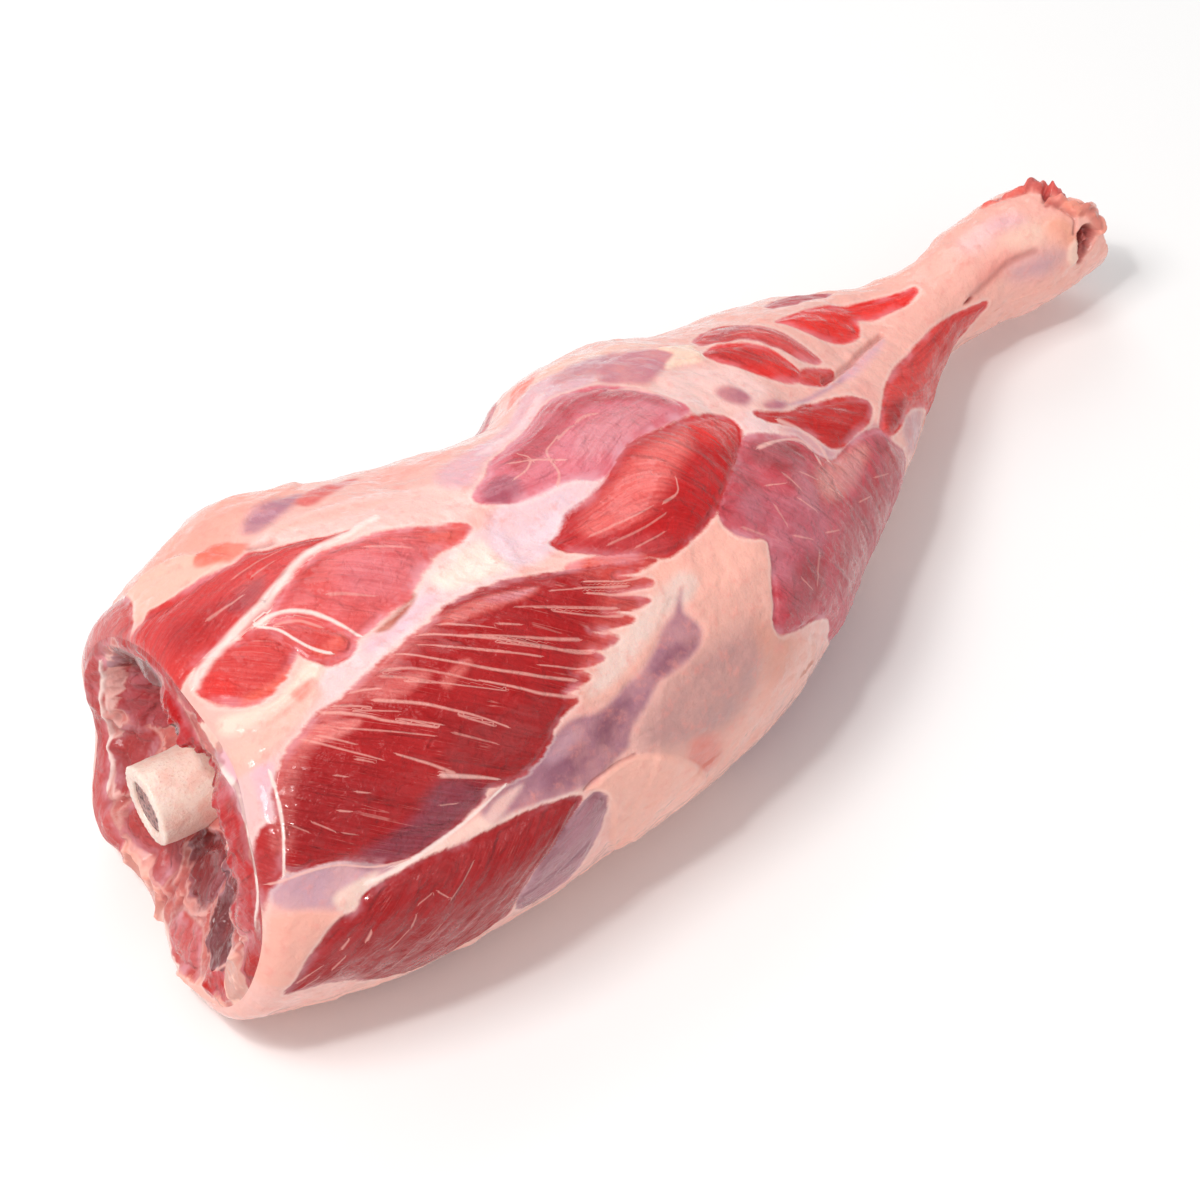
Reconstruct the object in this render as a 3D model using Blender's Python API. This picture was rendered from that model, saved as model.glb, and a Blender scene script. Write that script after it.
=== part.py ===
"""Raw leg of lamb, bone in, lying on its side: one body of meat, the sawn thigh bone and the marrow in it.

The leg runs along +X from the hip cut to the hock. +Y is the front of the leg (the shin side), -Y the back
(the calf side) and +Z is up. The origin is on the table, under the middle of the leg's box.

The form is worked out in leg coordinates, in millimetres: s runs from the hip end to the hock end, y and z
lie across the leg, and an angle goes round the leg from the front edge (0) over the top (90 degrees).
"""

import math

import bmesh
import bpy
import numpy as np
from mathutils import Matrix, Vector

MM = 0.001

# Leg coordinates of the point that becomes the origin, in millimetres. The table is at z = 0.
BOX_MIDDLE_S = 223.0
BOX_MIDDLE_Y = 6.6

# Sections square to the leg: s, back edge y, front edge y, underside z, top z.
SECTIONS = np.array(
    (
        (0, -43, 54, 8, 84),
        (32, -54, 67, 2, 92),
        (55, -61, 73, -4, 96),
        (80, -67, 80, -6, 98),
        (102, -70, 85, -6, 99),
        (122, -71, 79, -6, 99),
        (142, -70, 72, -5, 97),
        (165, -70, 66, -4, 95),
        (184, -68, 61, -3, 93),
        (207, -64, 72, -1, 89),
        (237, -52, 75, 3, 80),
        (262, -37, 67, 6, 71),
        (287, -23, 66, 8, 62),
        (307, -10, 64, 9, 54),
        (322, 0, 59, 10, 48),
        (340, 12, 51, 11, 45),
        (355, 18, 48, 10, 46),
        (372, 18, 52, 8, 47),
        (392, 14, 53, 8, 48),
        (425, 16, 52, 8, 48),
    ),
    float,
)
SQUARENESS = 2.25

# Muscles and fat that stand out of the plain section, and the valleys between them:
# s, angle, height, half length, half width, and the slant of the long axis in degrees.
BULGES = (
    (100, 46, 4.0, 32, 20, 0),
    (75, 74, 2.5, 28, 15, 0),
    (118, 80, 2.5, 26, 12, -5),
    (105, 117, 4.0, 50, 30, -8),
    (80, 168, 3.0, 40, 16, 0),
    (190, 66, 2.5, 32, 20, 0),
    (207, 98, 4.0, 34, 14, -10),
    (234, 127, 3.0, 24, 22, 0),
    (287, 76, 2.5, 34, 10, 0),
    (305, 150, 2.5, 28, 16, 0),
    (175, 150, 1.5, 40, 28, 0),
    (105, 97, -3.0, 42, 8, -8),
    (85, 149, -2.0, 45, 8, 0),
    (165, 92, -2.5, 30, 8, 0),
    (234, 110, -2.5, 22, 7, -60),
    (300, 99, -3.0, 36, 9, -10),
    (110, 300, 2.5, 60, 30, 0),
    (240, 330, 2.5, 40, 26, 0),
)

# The hip cut: a slanting plane with a rounded lip. It is hollow round the bone, and deepest in a pocket
# under the front muscles. The rim isn't straight: angle, how far it stands back, half width in degrees.
CUT_S = 35.0
CUT_TURN = 0.17
CUT_LEAN = 0.29
CUT_LEVEL = 46.0
RIM_WAVES = (
    (341, 9.0, 20),
    (283, 10.5, 20),
    (240, 1.5, 14),
    (104, 3.0, 16),
)
LIP_RADIUS = 7.0
HOLLOW_DEPTH = 17.0
HOLLOW_FLOOR = 0.25
HOLLOW_EDGE = 0.85
POCKET_Y = 44.0
POCKET_Z = 58.0
POCKET_DEPTH = 12.0
POCKET_RADIUS = 17.0
POCKET_EDGE = 0.75
FOLDS = 9
FOLD_DEPTH = 2.2
FOLD_TWIST = 5.0
FOLD_START = 0.3
FOLD_EDGE = 0.8

# The hock end: cut off a little askew, rounded over, with lumps of joint and tendon on it.
HOCK_S = 415.0
HOCK_Y = (SECTIONS[-1, 1] + SECTIONS[-1, 2]) / 2
HOCK_Z = (SECTIONS[-1, 3] + SECTIONS[-1, 4]) / 2
HOCK_TURN = 0.45
HOCK_LEAN = 0.28
HOCK_RADIUS = 8.0
HOCK_LUMP = 3.5
HOCK_LUMPS = 3
HOCK_FLATNESS = 0.8

# The thigh bone, sawn off square: its end's middle, its direction into the meat, and its outline.
BONE_END = (37.0, 18.0, 49.0)
BONE_TURN = -8.5
BONE_LENGTH = 172.0
BONE_RADIUS = 12.2
KNUCKLE_RADIUS = 15.5
KNUCKLE_LENGTH = 46.0
WALL = 4.4
MARROW_LENGTH = 124.0
MARROW_TIP = 25.0
MARROW_TAPER = 0.25
MARROW_SINK = 0.8
GAP = 0.3

# Mesh fineness: steps round the leg, and rings over the cut, the lip, the side and the hock end.
AROUND = 48
CUT_RINGS = 11
LIP_RINGS = 4
SIDE_RINGS = 62
HOCK_RINGS = 10
BONE_STEPS = 32


def smooth_table(table, at):
    """Reads every column of a table whose first column is s, on monotone cubics through its rows."""
    s = table[:, 0]
    values = table[:, 1:]
    gaps = np.diff(s)[:, None]
    rises = np.diff(values, axis=0) / gaps
    level = rises[:-1] * rises[1:] <= 0
    inner = np.where(level, 0, 2 * rises[:-1] * rises[1:] / np.where(level, 1, rises[:-1] + rises[1:]))
    slopes = np.vstack((rises[:1], inner, rises[-1:]))
    at = np.clip(at, s[0], s[-1])
    row = np.clip(np.searchsorted(s, at, side="right") - 1, 0, len(s) - 2)
    gap = gaps[row]
    t = ((at - s[row]) / gap[..., 0])[..., None]
    return (
        (2 * t**3 - 3 * t**2 + 1) * values[row]
        + (t**3 - 2 * t**2 + t) * gap * slopes[row]
        + (3 * t**2 - 2 * t**3) * values[row + 1]
        + (t**3 - t**2) * gap * slopes[row + 1]
    )


def turn_between(angle, middle):
    """The signed angle from middle to angle, in radians, the short way round."""
    return (angle - middle + math.pi) % (2 * math.pi) - math.pi


def ease(low, high, value):
    """A smooth step from 0 at low to 1 at high."""
    t = np.clip((value - low) / (high - low), 0, 1)
    return t * t * (3 - 2 * t)


def bulge(s, angle):
    """How far the flesh stands out of the plain section."""
    out = np.zeros(np.broadcast(s, angle).shape)
    back, front, under, top = np.moveaxis(smooth_table(SECTIONS, s), -1, 0)
    radius = (front - back + top - under) / 4
    for middle, degrees, height, half_length, half_width, slant in BULGES:
        along = s - middle
        across = turn_between(angle, math.radians(degrees)) * radius
        c = math.cos(math.radians(slant))
        n = math.sin(math.radians(slant))
        u = (along * c + across * n) / half_length
        v = (across * c - along * n) / half_width
        out = out + height * np.exp(-u * u - v * v)
    return out


def section(s, angle, inset=0.0):
    """Points of the leg's section at s. They lie inset millimetres inside the skin."""
    back, front, under, top = np.moveaxis(smooth_table(SECTIONS, s), -1, 0)
    c = np.cos(angle)
    n = np.sin(angle)
    power = 2 / SQUARENESS
    middle_y = (front + back) / 2
    middle_z = (top + under) / 2
    y = (front - back) / 2 * np.sign(c) * np.abs(c) ** power
    z = (top - under) / 2 * np.sign(n) * np.abs(n) ** power
    grow = 1 + (bulge(s, angle) - inset) / np.hypot(y, z)
    return middle_y + y * grow, middle_z + z * grow


def cut_plane(y, z, angle):
    """Where the hip cut lies along the leg."""
    s = CUT_S + CUT_TURN * y + CUT_LEAN * (z - CUT_LEVEL)
    for degrees, back, half_width in RIM_WAVES:
        s = s + back * np.exp(-((turn_between(angle, math.radians(degrees)) / math.radians(half_width)) ** 2))
    return s


def rim(angle, depth=0.0, inset=0.0):
    """Points of the cut's rim, or of a line that lies depth behind it and inset inside the skin."""
    s = np.full(np.shape(angle), CUT_S)
    for _ in range(8):
        y, z = section(s + depth, angle, inset)
        s = cut_plane(y, z, angle)
    return s + depth, y, z


def cut_face(share, angle):
    """The cut face, from the bone's axis (share 0) to the inner edge of the lip (share 1)."""
    edge_s, edge_y, edge_z = rim(angle, 0.0, LIP_RADIUS)
    _, hub_y, hub_z = BONE_END
    hub_s = CUT_S + CUT_TURN * hub_y + CUT_LEAN * (hub_z - CUT_LEVEL)
    y = hub_y + (edge_y - hub_y) * share
    z = hub_z + (edge_z - hub_z) * share
    s = hub_s + (edge_s - hub_s) * share
    hollow = HOLLOW_DEPTH * (1 - ease(HOLLOW_FLOOR, HOLLOW_EDGE, share))
    fold = FOLD_DEPTH * np.cos(FOLDS * angle + FOLD_TWIST * share)
    fold = fold * ease(FOLD_START, 2 * FOLD_START, share) * (1 - ease(FOLD_EDGE, 1, share))
    pocket = POCKET_DEPTH * np.exp(-((y - POCKET_Y) ** 2 + (z - POCKET_Z) ** 2) / POCKET_RADIUS**2)
    return s + hollow + fold + pocket * (1 - ease(POCKET_EDGE, 1, share)), y, z


def lip(share, angle):
    """The rounded lip, from the cut face (share 0) to the side of the leg (share 1)."""
    turn = share * math.pi / 2
    return rim(angle, LIP_RADIUS * (1 - math.cos(turn)), LIP_RADIUS * (1 - math.sin(turn)))


def hock_length(angle):
    """Where the side of the leg ends: the hock is cut off askew."""
    y, z = section(np.full(np.shape(angle), HOCK_S), angle)
    return HOCK_S - HOCK_RADIUS - HOCK_TURN * (y - HOCK_Y) - HOCK_LEAN * (z - HOCK_Z)


def side(share, angle):
    """The side of the leg, from the lip (share 0) to the hock end's edge (share 1)."""
    start, _, _ = rim(angle, LIP_RADIUS)
    s = start + (hock_length(angle) - start) * share
    y, z = section(s, angle)
    return s, y, z


def hock_end(share, angle):
    """The hock end, from its edge (share 0) to its middle (share 1)."""
    edge_s = hock_length(angle)
    edge_y, edge_z = section(edge_s, angle)
    middle_s = HOCK_S - HOCK_RADIUS
    turn = share * math.pi / 2
    keep = math.cos(turn) ** HOCK_FLATNESS
    lump = HOCK_LUMP * math.sin(2 * turn) * np.cos(HOCK_LUMPS * angle)
    s = middle_s + (edge_s - middle_s) * keep + HOCK_RADIUS * math.sin(turn) + lump
    return s, HOCK_Y + (edge_y - HOCK_Y) * keep, HOCK_Z + (edge_z - HOCK_Z) * keep


def leg_point(ring, angle):
    """A point of the meat's surface, from its ring (0 is the hub of the hip cut) and its angle."""
    for rings, surface in (
        (CUT_RINGS, cut_face),
        (LIP_RINGS, lip),
        (SIDE_RINGS, side),
        (HOCK_RINGS, hock_end),
    ):
        if ring <= rings:
            return surface(ring / rings, angle)
        ring -= rings
    return hock_end(1.0, angle)


def to_frame(s, y, z):
    """Turns leg coordinates into metres from the origin. What would be under the table is flat on it."""
    return Vector(((s - BOX_MIDDLE_S) * MM, (y - BOX_MIDDLE_Y) * MM, max(z, 0.0) * MM))


def plain_material(name, color, roughness):
    material = bpy.data.materials.new(name)
    material.use_nodes = True
    shader = material.node_tree.nodes["Principled BSDF"]
    shader.inputs["Base Color"].default_value = (*color, 1.0)
    shader.inputs["Roughness"].default_value = roughness
    shader.inputs["Metallic"].default_value = 0.0
    return material


def add_piece(name, bm, material):
    """Makes an object of a bmesh, with its faces pointing outwards and shaded smooth."""
    bmesh.ops.recalc_face_normals(bm, faces=bm.faces)
    mesh = bpy.data.meshes.new(name)
    bm.to_mesh(mesh)
    bm.free()
    mesh.materials.append(material)
    mesh.shade_smooth()
    piece = bpy.data.objects.new(name, mesh)
    bpy.context.scene.collection.objects.link(piece)
    return piece


def add_meat(material):
    """A sphere whose rings are laid over the cut face, the lip, the side of the leg and the hock end."""
    rings = CUT_RINGS + LIP_RINGS + SIDE_RINGS + HOCK_RINGS
    bm = bmesh.new()
    bmesh.ops.create_uvsphere(bm, u_segments=AROUND, v_segments=rings, radius=1.0)
    for vert in bm.verts:
        ring = round(rings * (1 - math.acos(max(-1.0, min(1.0, vert.co.z))) / math.pi))
        step = round(math.atan2(vert.co.y, vert.co.x) / (2 * math.pi / AROUND))
        if ring in (0, rings):
            step = 0
        s, y, z = leg_point(ring, np.float64(step * 2 * math.pi / AROUND))
        vert.co = to_frame(float(s), float(y), float(z))
    return add_piece("leg_meat", bm, material)


def bone_radius(along):
    """The bone's radius along the bone: a slim shaft that widens into the knuckle at the knee."""
    swell = ease(BONE_LENGTH - KNUCKLE_LENGTH, BONE_LENGTH - KNUCKLE_LENGTH / 3, along)
    return BONE_RADIUS + (KNUCKLE_RADIUS - BONE_RADIUS) * float(swell)


def bone_outline(grow):
    """The bone's outer line from the knuckle's tip to the sawn end: distance along the bone, radius."""
    points = []
    knuckle_middle = BONE_LENGTH - KNUCKLE_RADIUS
    for step in range(6):
        turn = step / 6 * math.pi / 2
        reach = KNUCKLE_RADIUS + grow
        points.append((knuckle_middle + reach * math.cos(turn), reach * math.sin(turn)))
    for step in range(8):
        along = knuckle_middle * (1 - step / 7)
        points.append((along, bone_radius(along) + grow))
    return points


def marrow_outline(shrink):
    """The marrow hole's line from its mouth to its inner tip."""
    radius = BONE_RADIUS - WALL
    tip_radius = radius * (1 - MARROW_TAPER) - shrink
    straight = MARROW_LENGTH - MARROW_TIP
    points = []
    for step in range(6):
        share = step / 6
        points.append((straight * share, radius * (1 - MARROW_TAPER * share) - shrink))
    for step in range(4):
        turn = step / 4 * math.pi / 2
        points.append((straight + (MARROW_TIP - shrink) * math.sin(turn), tip_radius * math.cos(turn)))
    points.append((MARROW_LENGTH - shrink, 0.0))
    return points


def turned(outline):
    """Turns a line of (distance along the bone, radius) about the bone's axis, where it lies in the leg."""
    bm = bmesh.new()
    verts = [bm.verts.new((along * MM, radius * MM, 0.0)) for along, radius in outline]
    edges = [bm.edges.new(pair) for pair in zip(verts, verts[1:])]
    bmesh.ops.spin(
        bm,
        geom=verts + edges,
        axis=(1.0, 0.0, 0.0),
        cent=(0.0, 0.0, 0.0),
        angle=2 * math.pi,
        steps=BONE_STEPS,
        use_merge=True,
    )
    bmesh.ops.remove_doubles(bm, verts=bm.verts, dist=0.00001)
    turn = Matrix.Rotation(math.radians(BONE_TURN), 4, "Z")
    place = Matrix.Translation(to_frame(*BONE_END)) @ turn
    bmesh.ops.transform(bm, matrix=place, verts=bm.verts)
    return bm


def add_femur(material):
    """The thigh bone: a tube round the marrow, closed at the knee."""
    outline = bone_outline(0.0) + marrow_outline(0.0)
    return add_piece("femur", turned(outline), material)


def add_marrow(material):
    """The marrow: it fills the hole in the bone, and its face is a little below the sawn end."""
    hole = [(max(along, MARROW_SINK), radius) for along, radius in marrow_outline(GAP)]
    return add_piece("marrow", turned([(MARROW_SINK, 0.0)] + hole), material)


def cut_socket(meat):
    """Cuts the bone's place out of the meat."""
    outline = bone_outline(GAP)
    reach = BONE_RADIUS + GAP
    mouth = [(-reach, reach), (-reach, 0.0)]
    cutter = add_piece("femur_socket", turned(outline + mouth), None)
    cutter.hide_render = True
    cutter.display_type = "WIRE"
    cut = meat.modifiers.new("Socket", "BOOLEAN")
    cut.operation = "DIFFERENCE"
    cut.solver = "EXACT"
    cut.object = cutter


def main():
    for leftover in list(bpy.data.objects):
        bpy.data.objects.remove(leftover)
    meat = add_meat(plain_material("raw_meat", (0.42, 0.09, 0.08), 0.35))
    add_femur(plain_material("bone", (0.90, 0.66, 0.56), 0.45))
    add_marrow(plain_material("marrow", (0.42, 0.20, 0.17), 0.60))
    cut_socket(meat)


main()
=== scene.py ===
"""Raw leg of lamb: the looks of the flesh, the fat, the silver skin, the sawn bone and the marrow.

The form is worked out in leg coordinates, in millimetres: s runs from the hip end to the hock end, y and z
lie across the leg, and an angle in degrees goes round it from the front edge (0) over the top (90).
"""

import math
from typing import NamedTuple

import bmesh
import bpy
import numpy as np
from bpy.props import FloatProperty, FloatVectorProperty, IntProperty, PointerProperty
from mathutils import Matrix, Vector


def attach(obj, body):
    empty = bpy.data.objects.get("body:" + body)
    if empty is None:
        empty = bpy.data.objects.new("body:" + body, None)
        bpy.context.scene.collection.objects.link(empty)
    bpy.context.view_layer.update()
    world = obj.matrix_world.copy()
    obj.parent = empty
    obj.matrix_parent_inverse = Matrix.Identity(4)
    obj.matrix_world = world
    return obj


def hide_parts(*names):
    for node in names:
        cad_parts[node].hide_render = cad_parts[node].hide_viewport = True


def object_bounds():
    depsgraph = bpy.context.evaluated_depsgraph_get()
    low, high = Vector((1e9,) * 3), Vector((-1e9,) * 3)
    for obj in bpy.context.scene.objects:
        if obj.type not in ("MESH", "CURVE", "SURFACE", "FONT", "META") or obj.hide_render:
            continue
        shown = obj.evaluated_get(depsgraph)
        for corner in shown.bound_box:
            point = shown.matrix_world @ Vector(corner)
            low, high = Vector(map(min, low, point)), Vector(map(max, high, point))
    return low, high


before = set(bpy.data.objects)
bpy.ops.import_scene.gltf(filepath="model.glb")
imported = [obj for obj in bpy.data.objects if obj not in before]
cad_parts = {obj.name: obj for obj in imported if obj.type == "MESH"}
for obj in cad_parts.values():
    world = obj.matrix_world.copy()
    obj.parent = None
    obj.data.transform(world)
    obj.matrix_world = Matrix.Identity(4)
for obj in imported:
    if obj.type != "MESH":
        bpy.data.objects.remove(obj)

bl_info = {
    "name": "Raw leg of lamb",
    "version": (1, 0, 0),
    "blender": (4, 5, 0),
    "location": "View3D > Sidebar > Lamb",
    "description": "Builds a raw bone-in leg of lamb with its muscles, fat, silver skin, bone and marrow",
    "category": "Object",
}

CAD_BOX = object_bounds()
MM = 0.001

# ---------------- the leg's form, as its solid has it

# The frame's origin in leg coordinates.
BOX_MIDDLE_S = 223.0
BOX_MIDDLE_Y = 6.6

# Sections along the leg: s, and where its back, front, underside and top lie.
SECTIONS = np.array(
    (
        (0, -43, 54, 8, 84),
        (32, -54, 67, 2, 92),
        (55, -61, 73, -4, 96),
        (80, -67, 80, -6, 98),
        (102, -70, 85, -6, 99),
        (122, -71, 79, -6, 99),
        (142, -70, 72, -5, 97),
        (165, -70, 66, -4, 95),
        (184, -68, 61, -3, 93),
        (207, -64, 72, -1, 89),
        (237, -52, 75, 3, 80),
        (262, -37, 67, 6, 71),
        (287, -23, 66, 8, 62),
        (307, -10, 64, 9, 54),
        (322, 0, 59, 10, 48),
        (340, 12, 51, 11, 45),
        (355, 18, 48, 10, 46),
        (372, 18, 52, 8, 47),
        (392, 14, 53, 8, 48),
        (425, 16, 52, 8, 48),
    ),
    float,
)
SQUARENESS = 2.25

# Muscles that stand out of the sections and seams that sink in: s, angle, height, half length,
# half width and slant.
BULGES = (
    (100, 46, 4.0, 32, 20, 0),
    (75, 74, 2.5, 28, 15, 0),
    (118, 80, 2.5, 26, 12, -5),
    (105, 117, 4.0, 50, 30, -8),
    (80, 168, 3.0, 40, 16, 0),
    (190, 66, 2.5, 32, 20, 0),
    (207, 98, 4.0, 34, 14, -10),
    (234, 127, 3.0, 24, 22, 0),
    (287, 76, 2.5, 34, 10, 0),
    (305, 150, 2.5, 28, 16, 0),
    (175, 150, 1.5, 40, 28, 0),
    (105, 97, -3.0, 42, 8, -8),
    (85, 149, -2.0, 45, 8, 0),
    (165, 92, -2.5, 30, 8, 0),
    (234, 110, -2.5, 22, 7, -60),
    (300, 99, -3.0, 36, 9, -10),
    (110, 300, 2.5, 60, 30, 0),
    (240, 330, 2.5, 40, 26, 0),
)

# The hip cut's plane, and the waves of its rim: angle, how far back, and half width in degrees.
CUT_S = 35.0
CUT_TURN = 0.17
CUT_LEAN = 0.29
CUT_LEVEL = 46.0
RIM_WAVES = (
    (341, 9.0, 20),
    (283, 10.5, 20),
    (240, 1.5, 14),
    (104, 3.0, 16),
)
RIM_ROUNDS = 8

# The lip that rolls from the skin into the cut: tight near one angle, rounder elsewhere.
LIP_RADIUS = 7.0
LIP_ROUND = 0.8
LIP_TIGHTER_BY = 0.45
LIP_TIGHT_ANGLE = 75.0
LIP_TIGHT_WIDTH = 0.85

# The hollow of the cut face, by shares of the way from the bone to the lip, and a pocket in it.
HOLLOW_DEPTH = 17.0
HOLLOW_FLOOR = 0.25
HOLLOW_EDGE = 0.85
POCKET_Y = 44.0
POCKET_Z = 58.0
POCKET_DEPTH = 12.0
POCKET_RADIUS = 17.0
POCKET_EDGE = 0.75

# The hock's end, cut off askew and a little lumpy.
HOCK_S = 415.0
HOCK_Y = (SECTIONS[-1, 1] + SECTIONS[-1, 2]) / 2
HOCK_Z = (SECTIONS[-1, 3] + SECTIONS[-1, 4]) / 2
HOCK_TURN = 0.45
HOCK_LEAN = 0.28
HOCK_RADIUS = 8.0
HOCK_FLATNESS = 0.8
HOCK_LOBES = 3
LOBE_HEIGHT = 3.0
HOCK_ROUGHNESS = 1.2

# The thigh bone: where its sawn end's middle lies, its turn in degrees, and its knuckle at the knee.
BONE_END = (37.0, 18.0, 49.0)
BONE_TURN = -8.5
BONE_LENGTH = 170.0
BONE_RADIUS = 12.2
KNUCKLE_RADIUS = 15.5
KNUCKLE_START = 126.0
KNUCKLE_FULL = 156.0
BONE_WALL = 4.4
MARROW_SINK = 0.8

# Rows of the skin over the lip and the hock's end, and the pieces that the side is divided into.
LIP_ROWS = 20
HOCK_ROWS = 30
SIDE_PIECES = ("hip", "thigh", "knee", "shank")

# The angles between which the skin's columns lie close together.
FINE_FROM = 22.0
FINE_TO = 232.0

# How far the finished surface lies inside the solid's, so that nothing on it stands out of the leg's box.
SKIN_INSET = 1.4


def smooth_table(table, at):
    """Reads every column of a table whose first column is s, on monotone cubics through its rows."""
    s = table[:, 0]
    values = table[:, 1:]
    gaps = np.diff(s)[:, None]
    rises = np.diff(values, axis=0) / gaps
    level = rises[:-1] * rises[1:] <= 0
    inner = np.where(level, 0, 2 * rises[:-1] * rises[1:] / np.where(level, 1, rises[:-1] + rises[1:]))
    slopes = np.vstack((rises[:1], inner, rises[-1:]))
    at = np.clip(at, s[0], s[-1])
    row = np.clip(np.searchsorted(s, at, side="right") - 1, 0, len(s) - 2)
    gap = gaps[row]
    t = ((at - s[row]) / gap[..., 0])[..., None]
    return (
        (2 * t**3 - 3 * t**2 + 1) * values[row]
        + (t**3 - 2 * t**2 + t) * gap * slopes[row]
        + (3 * t**2 - 2 * t**3) * values[row + 1]
        + (t**3 - t**2) * gap * slopes[row + 1]
    )


def turn_between(angle, middle):
    """The signed angle from middle to angle, in radians, the short way round."""
    return (angle - middle + math.pi) % (2 * math.pi) - math.pi


def ease(low, high, value):
    """A smooth step from 0 at low to 1 at high."""
    t = np.clip((value - low) / (high - low), 0, 1)
    return t * t * (3 - 2 * t)


def mean_radius(s):
    back, front, under, top = np.moveaxis(smooth_table(SECTIONS, s), -1, 0)
    return (front - back + top - under) / 4


def bulge(s, angle):
    """How far the flesh stands out of the plain section."""
    out = np.zeros(np.broadcast(s, angle).shape)
    radius = mean_radius(s)
    for middle, degrees, height, half_length, half_width, slant in BULGES:
        along = s - middle
        across = turn_between(angle, math.radians(degrees)) * radius
        c = math.cos(math.radians(slant))
        n = math.sin(math.radians(slant))
        u = (along * c + across * n) / half_length
        v = (across * c - along * n) / half_width
        out = out + height * np.exp(-u * u - v * v)
    return out


def section(s, angle, inset=0.0):
    """Points of the leg's section at s. They lie inset millimetres inside the skin."""
    back, front, under, top = np.moveaxis(smooth_table(SECTIONS, s), -1, 0)
    c = np.cos(angle)
    n = np.sin(angle)
    power = 2 / SQUARENESS
    middle_y = (front + back) / 2
    middle_z = (top + under) / 2
    y = (front - back) / 2 * np.sign(c) * np.abs(c) ** power
    z = (top - under) / 2 * np.sign(n) * np.abs(n) ** power
    grow = 1 + (bulge(s, angle) - inset) / np.hypot(y, z)
    return middle_y + y * grow, middle_z + z * grow


def cut_plane(y, z, angle):
    """Where the hip cut lies along the leg."""
    s = CUT_S + CUT_TURN * y + CUT_LEAN * (z - CUT_LEVEL)
    for degrees, back, half_width in RIM_WAVES:
        away = turn_between(angle, math.radians(degrees)) / math.radians(half_width)
        s = s + back * np.exp(-(away**2))
    return s


def rim(angle, depth=0.0, inset=0.0):
    """Points of the cut's rim, or of a line that lies depth behind it and inset inside the skin."""
    s = np.full(np.shape(angle), CUT_S)
    for _ in range(RIM_ROUNDS):
        y, z = section(s + depth, angle, inset)
        s = cut_plane(y, z, angle)
    return s + depth, y, z


def hock_length(angle):
    """Where the side of the leg ends: the hock is cut off askew."""
    y, z = section(np.full(np.shape(angle), HOCK_S), angle)
    return HOCK_S - HOCK_RADIUS - HOCK_TURN * (y - HOCK_Y) - HOCK_LEAN * (z - HOCK_Z)


def to_frame(s, y, z):
    """Turns leg coordinates into metres from the origin, as rows of x, y, z."""
    return np.stack(((s - BOX_MIDDLE_S) * MM, (y - BOX_MIDDLE_Y) * MM, z * MM), -1)


# ---------------- numbers from noise


def scrambled(cell, seed):
    """A repeatable number from 0 to 1 for each whole-numbered cell."""
    x, y, z = np.moveaxis(cell, -1, 0)
    value = x * 374761393 + y * 668265263 + z * 2147483647 + seed * 974634777
    value = (value ^ (value >> 13)) * 1274126177
    value = (value ^ (value >> 16)) * 2246822519
    return ((value ^ (value >> 15)) & 0xFFFFFF) / float(0xFFFFFF)


def grain(x, y, z, seed=0):
    """Smooth noise from -1 to 1 with cells one unit wide."""
    point = np.stack(np.broadcast_arrays(x, y, z), -1).astype(float)
    cell = np.floor(point).astype(np.int64)
    t = point - cell
    t = t * t * t * (t * (t * 6 - 15) + 10)
    total = np.zeros(point.shape[:-1])
    for corner in range(8):
        step = np.array((corner & 1, corner >> 1 & 1, corner >> 2 & 1))
        weight = np.prod(np.where(step, t, 1 - t), -1)
        total += weight * scrambled(cell + step, seed)
    return total * 2 - 1


def rough_grain(x, y, z, seed=0, layers=3):
    """Smooth noise with finer noise on it."""
    total = 0.0
    for layer in range(layers):
        total = total + grain(x * 2**layer, y * 2**layer, z * 2**layer, seed + layer) / 2**layer
    return total


# ---------------- the map of muscles, fat and seams


class Muscle(NamedTuple):
    """A muscle that shows: its outline as (s, angle) points, and what it looks like.

    The fibres' direction is in degrees from the leg's length at the outline's hip end and at its hock end.
    """

    outline: tuple
    tint: tuple
    fibres: tuple = (0.0, 0.0)
    dome: float = 1.0
    film: float = 0.0
    streaks: float = 0.0


class Patch(NamedTuple):
    """A patch of fat, film or flesh of another colour. Lengths are in millimetres.

    Over is the share by which it tints the muscles there. At 0 it tints only the fat beside them.
    """

    outline: tuple
    tint: tuple
    softness: float = 3.0
    height: float = 0.0
    over: float = 0.0
    ragged: float = 0.0


class Streak(NamedTuple):
    """A line of white tissue, with its width at its start and at its end."""

    path: tuple
    widths: tuple
    strength: float = 1.0
    height: float = 0.06


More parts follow.
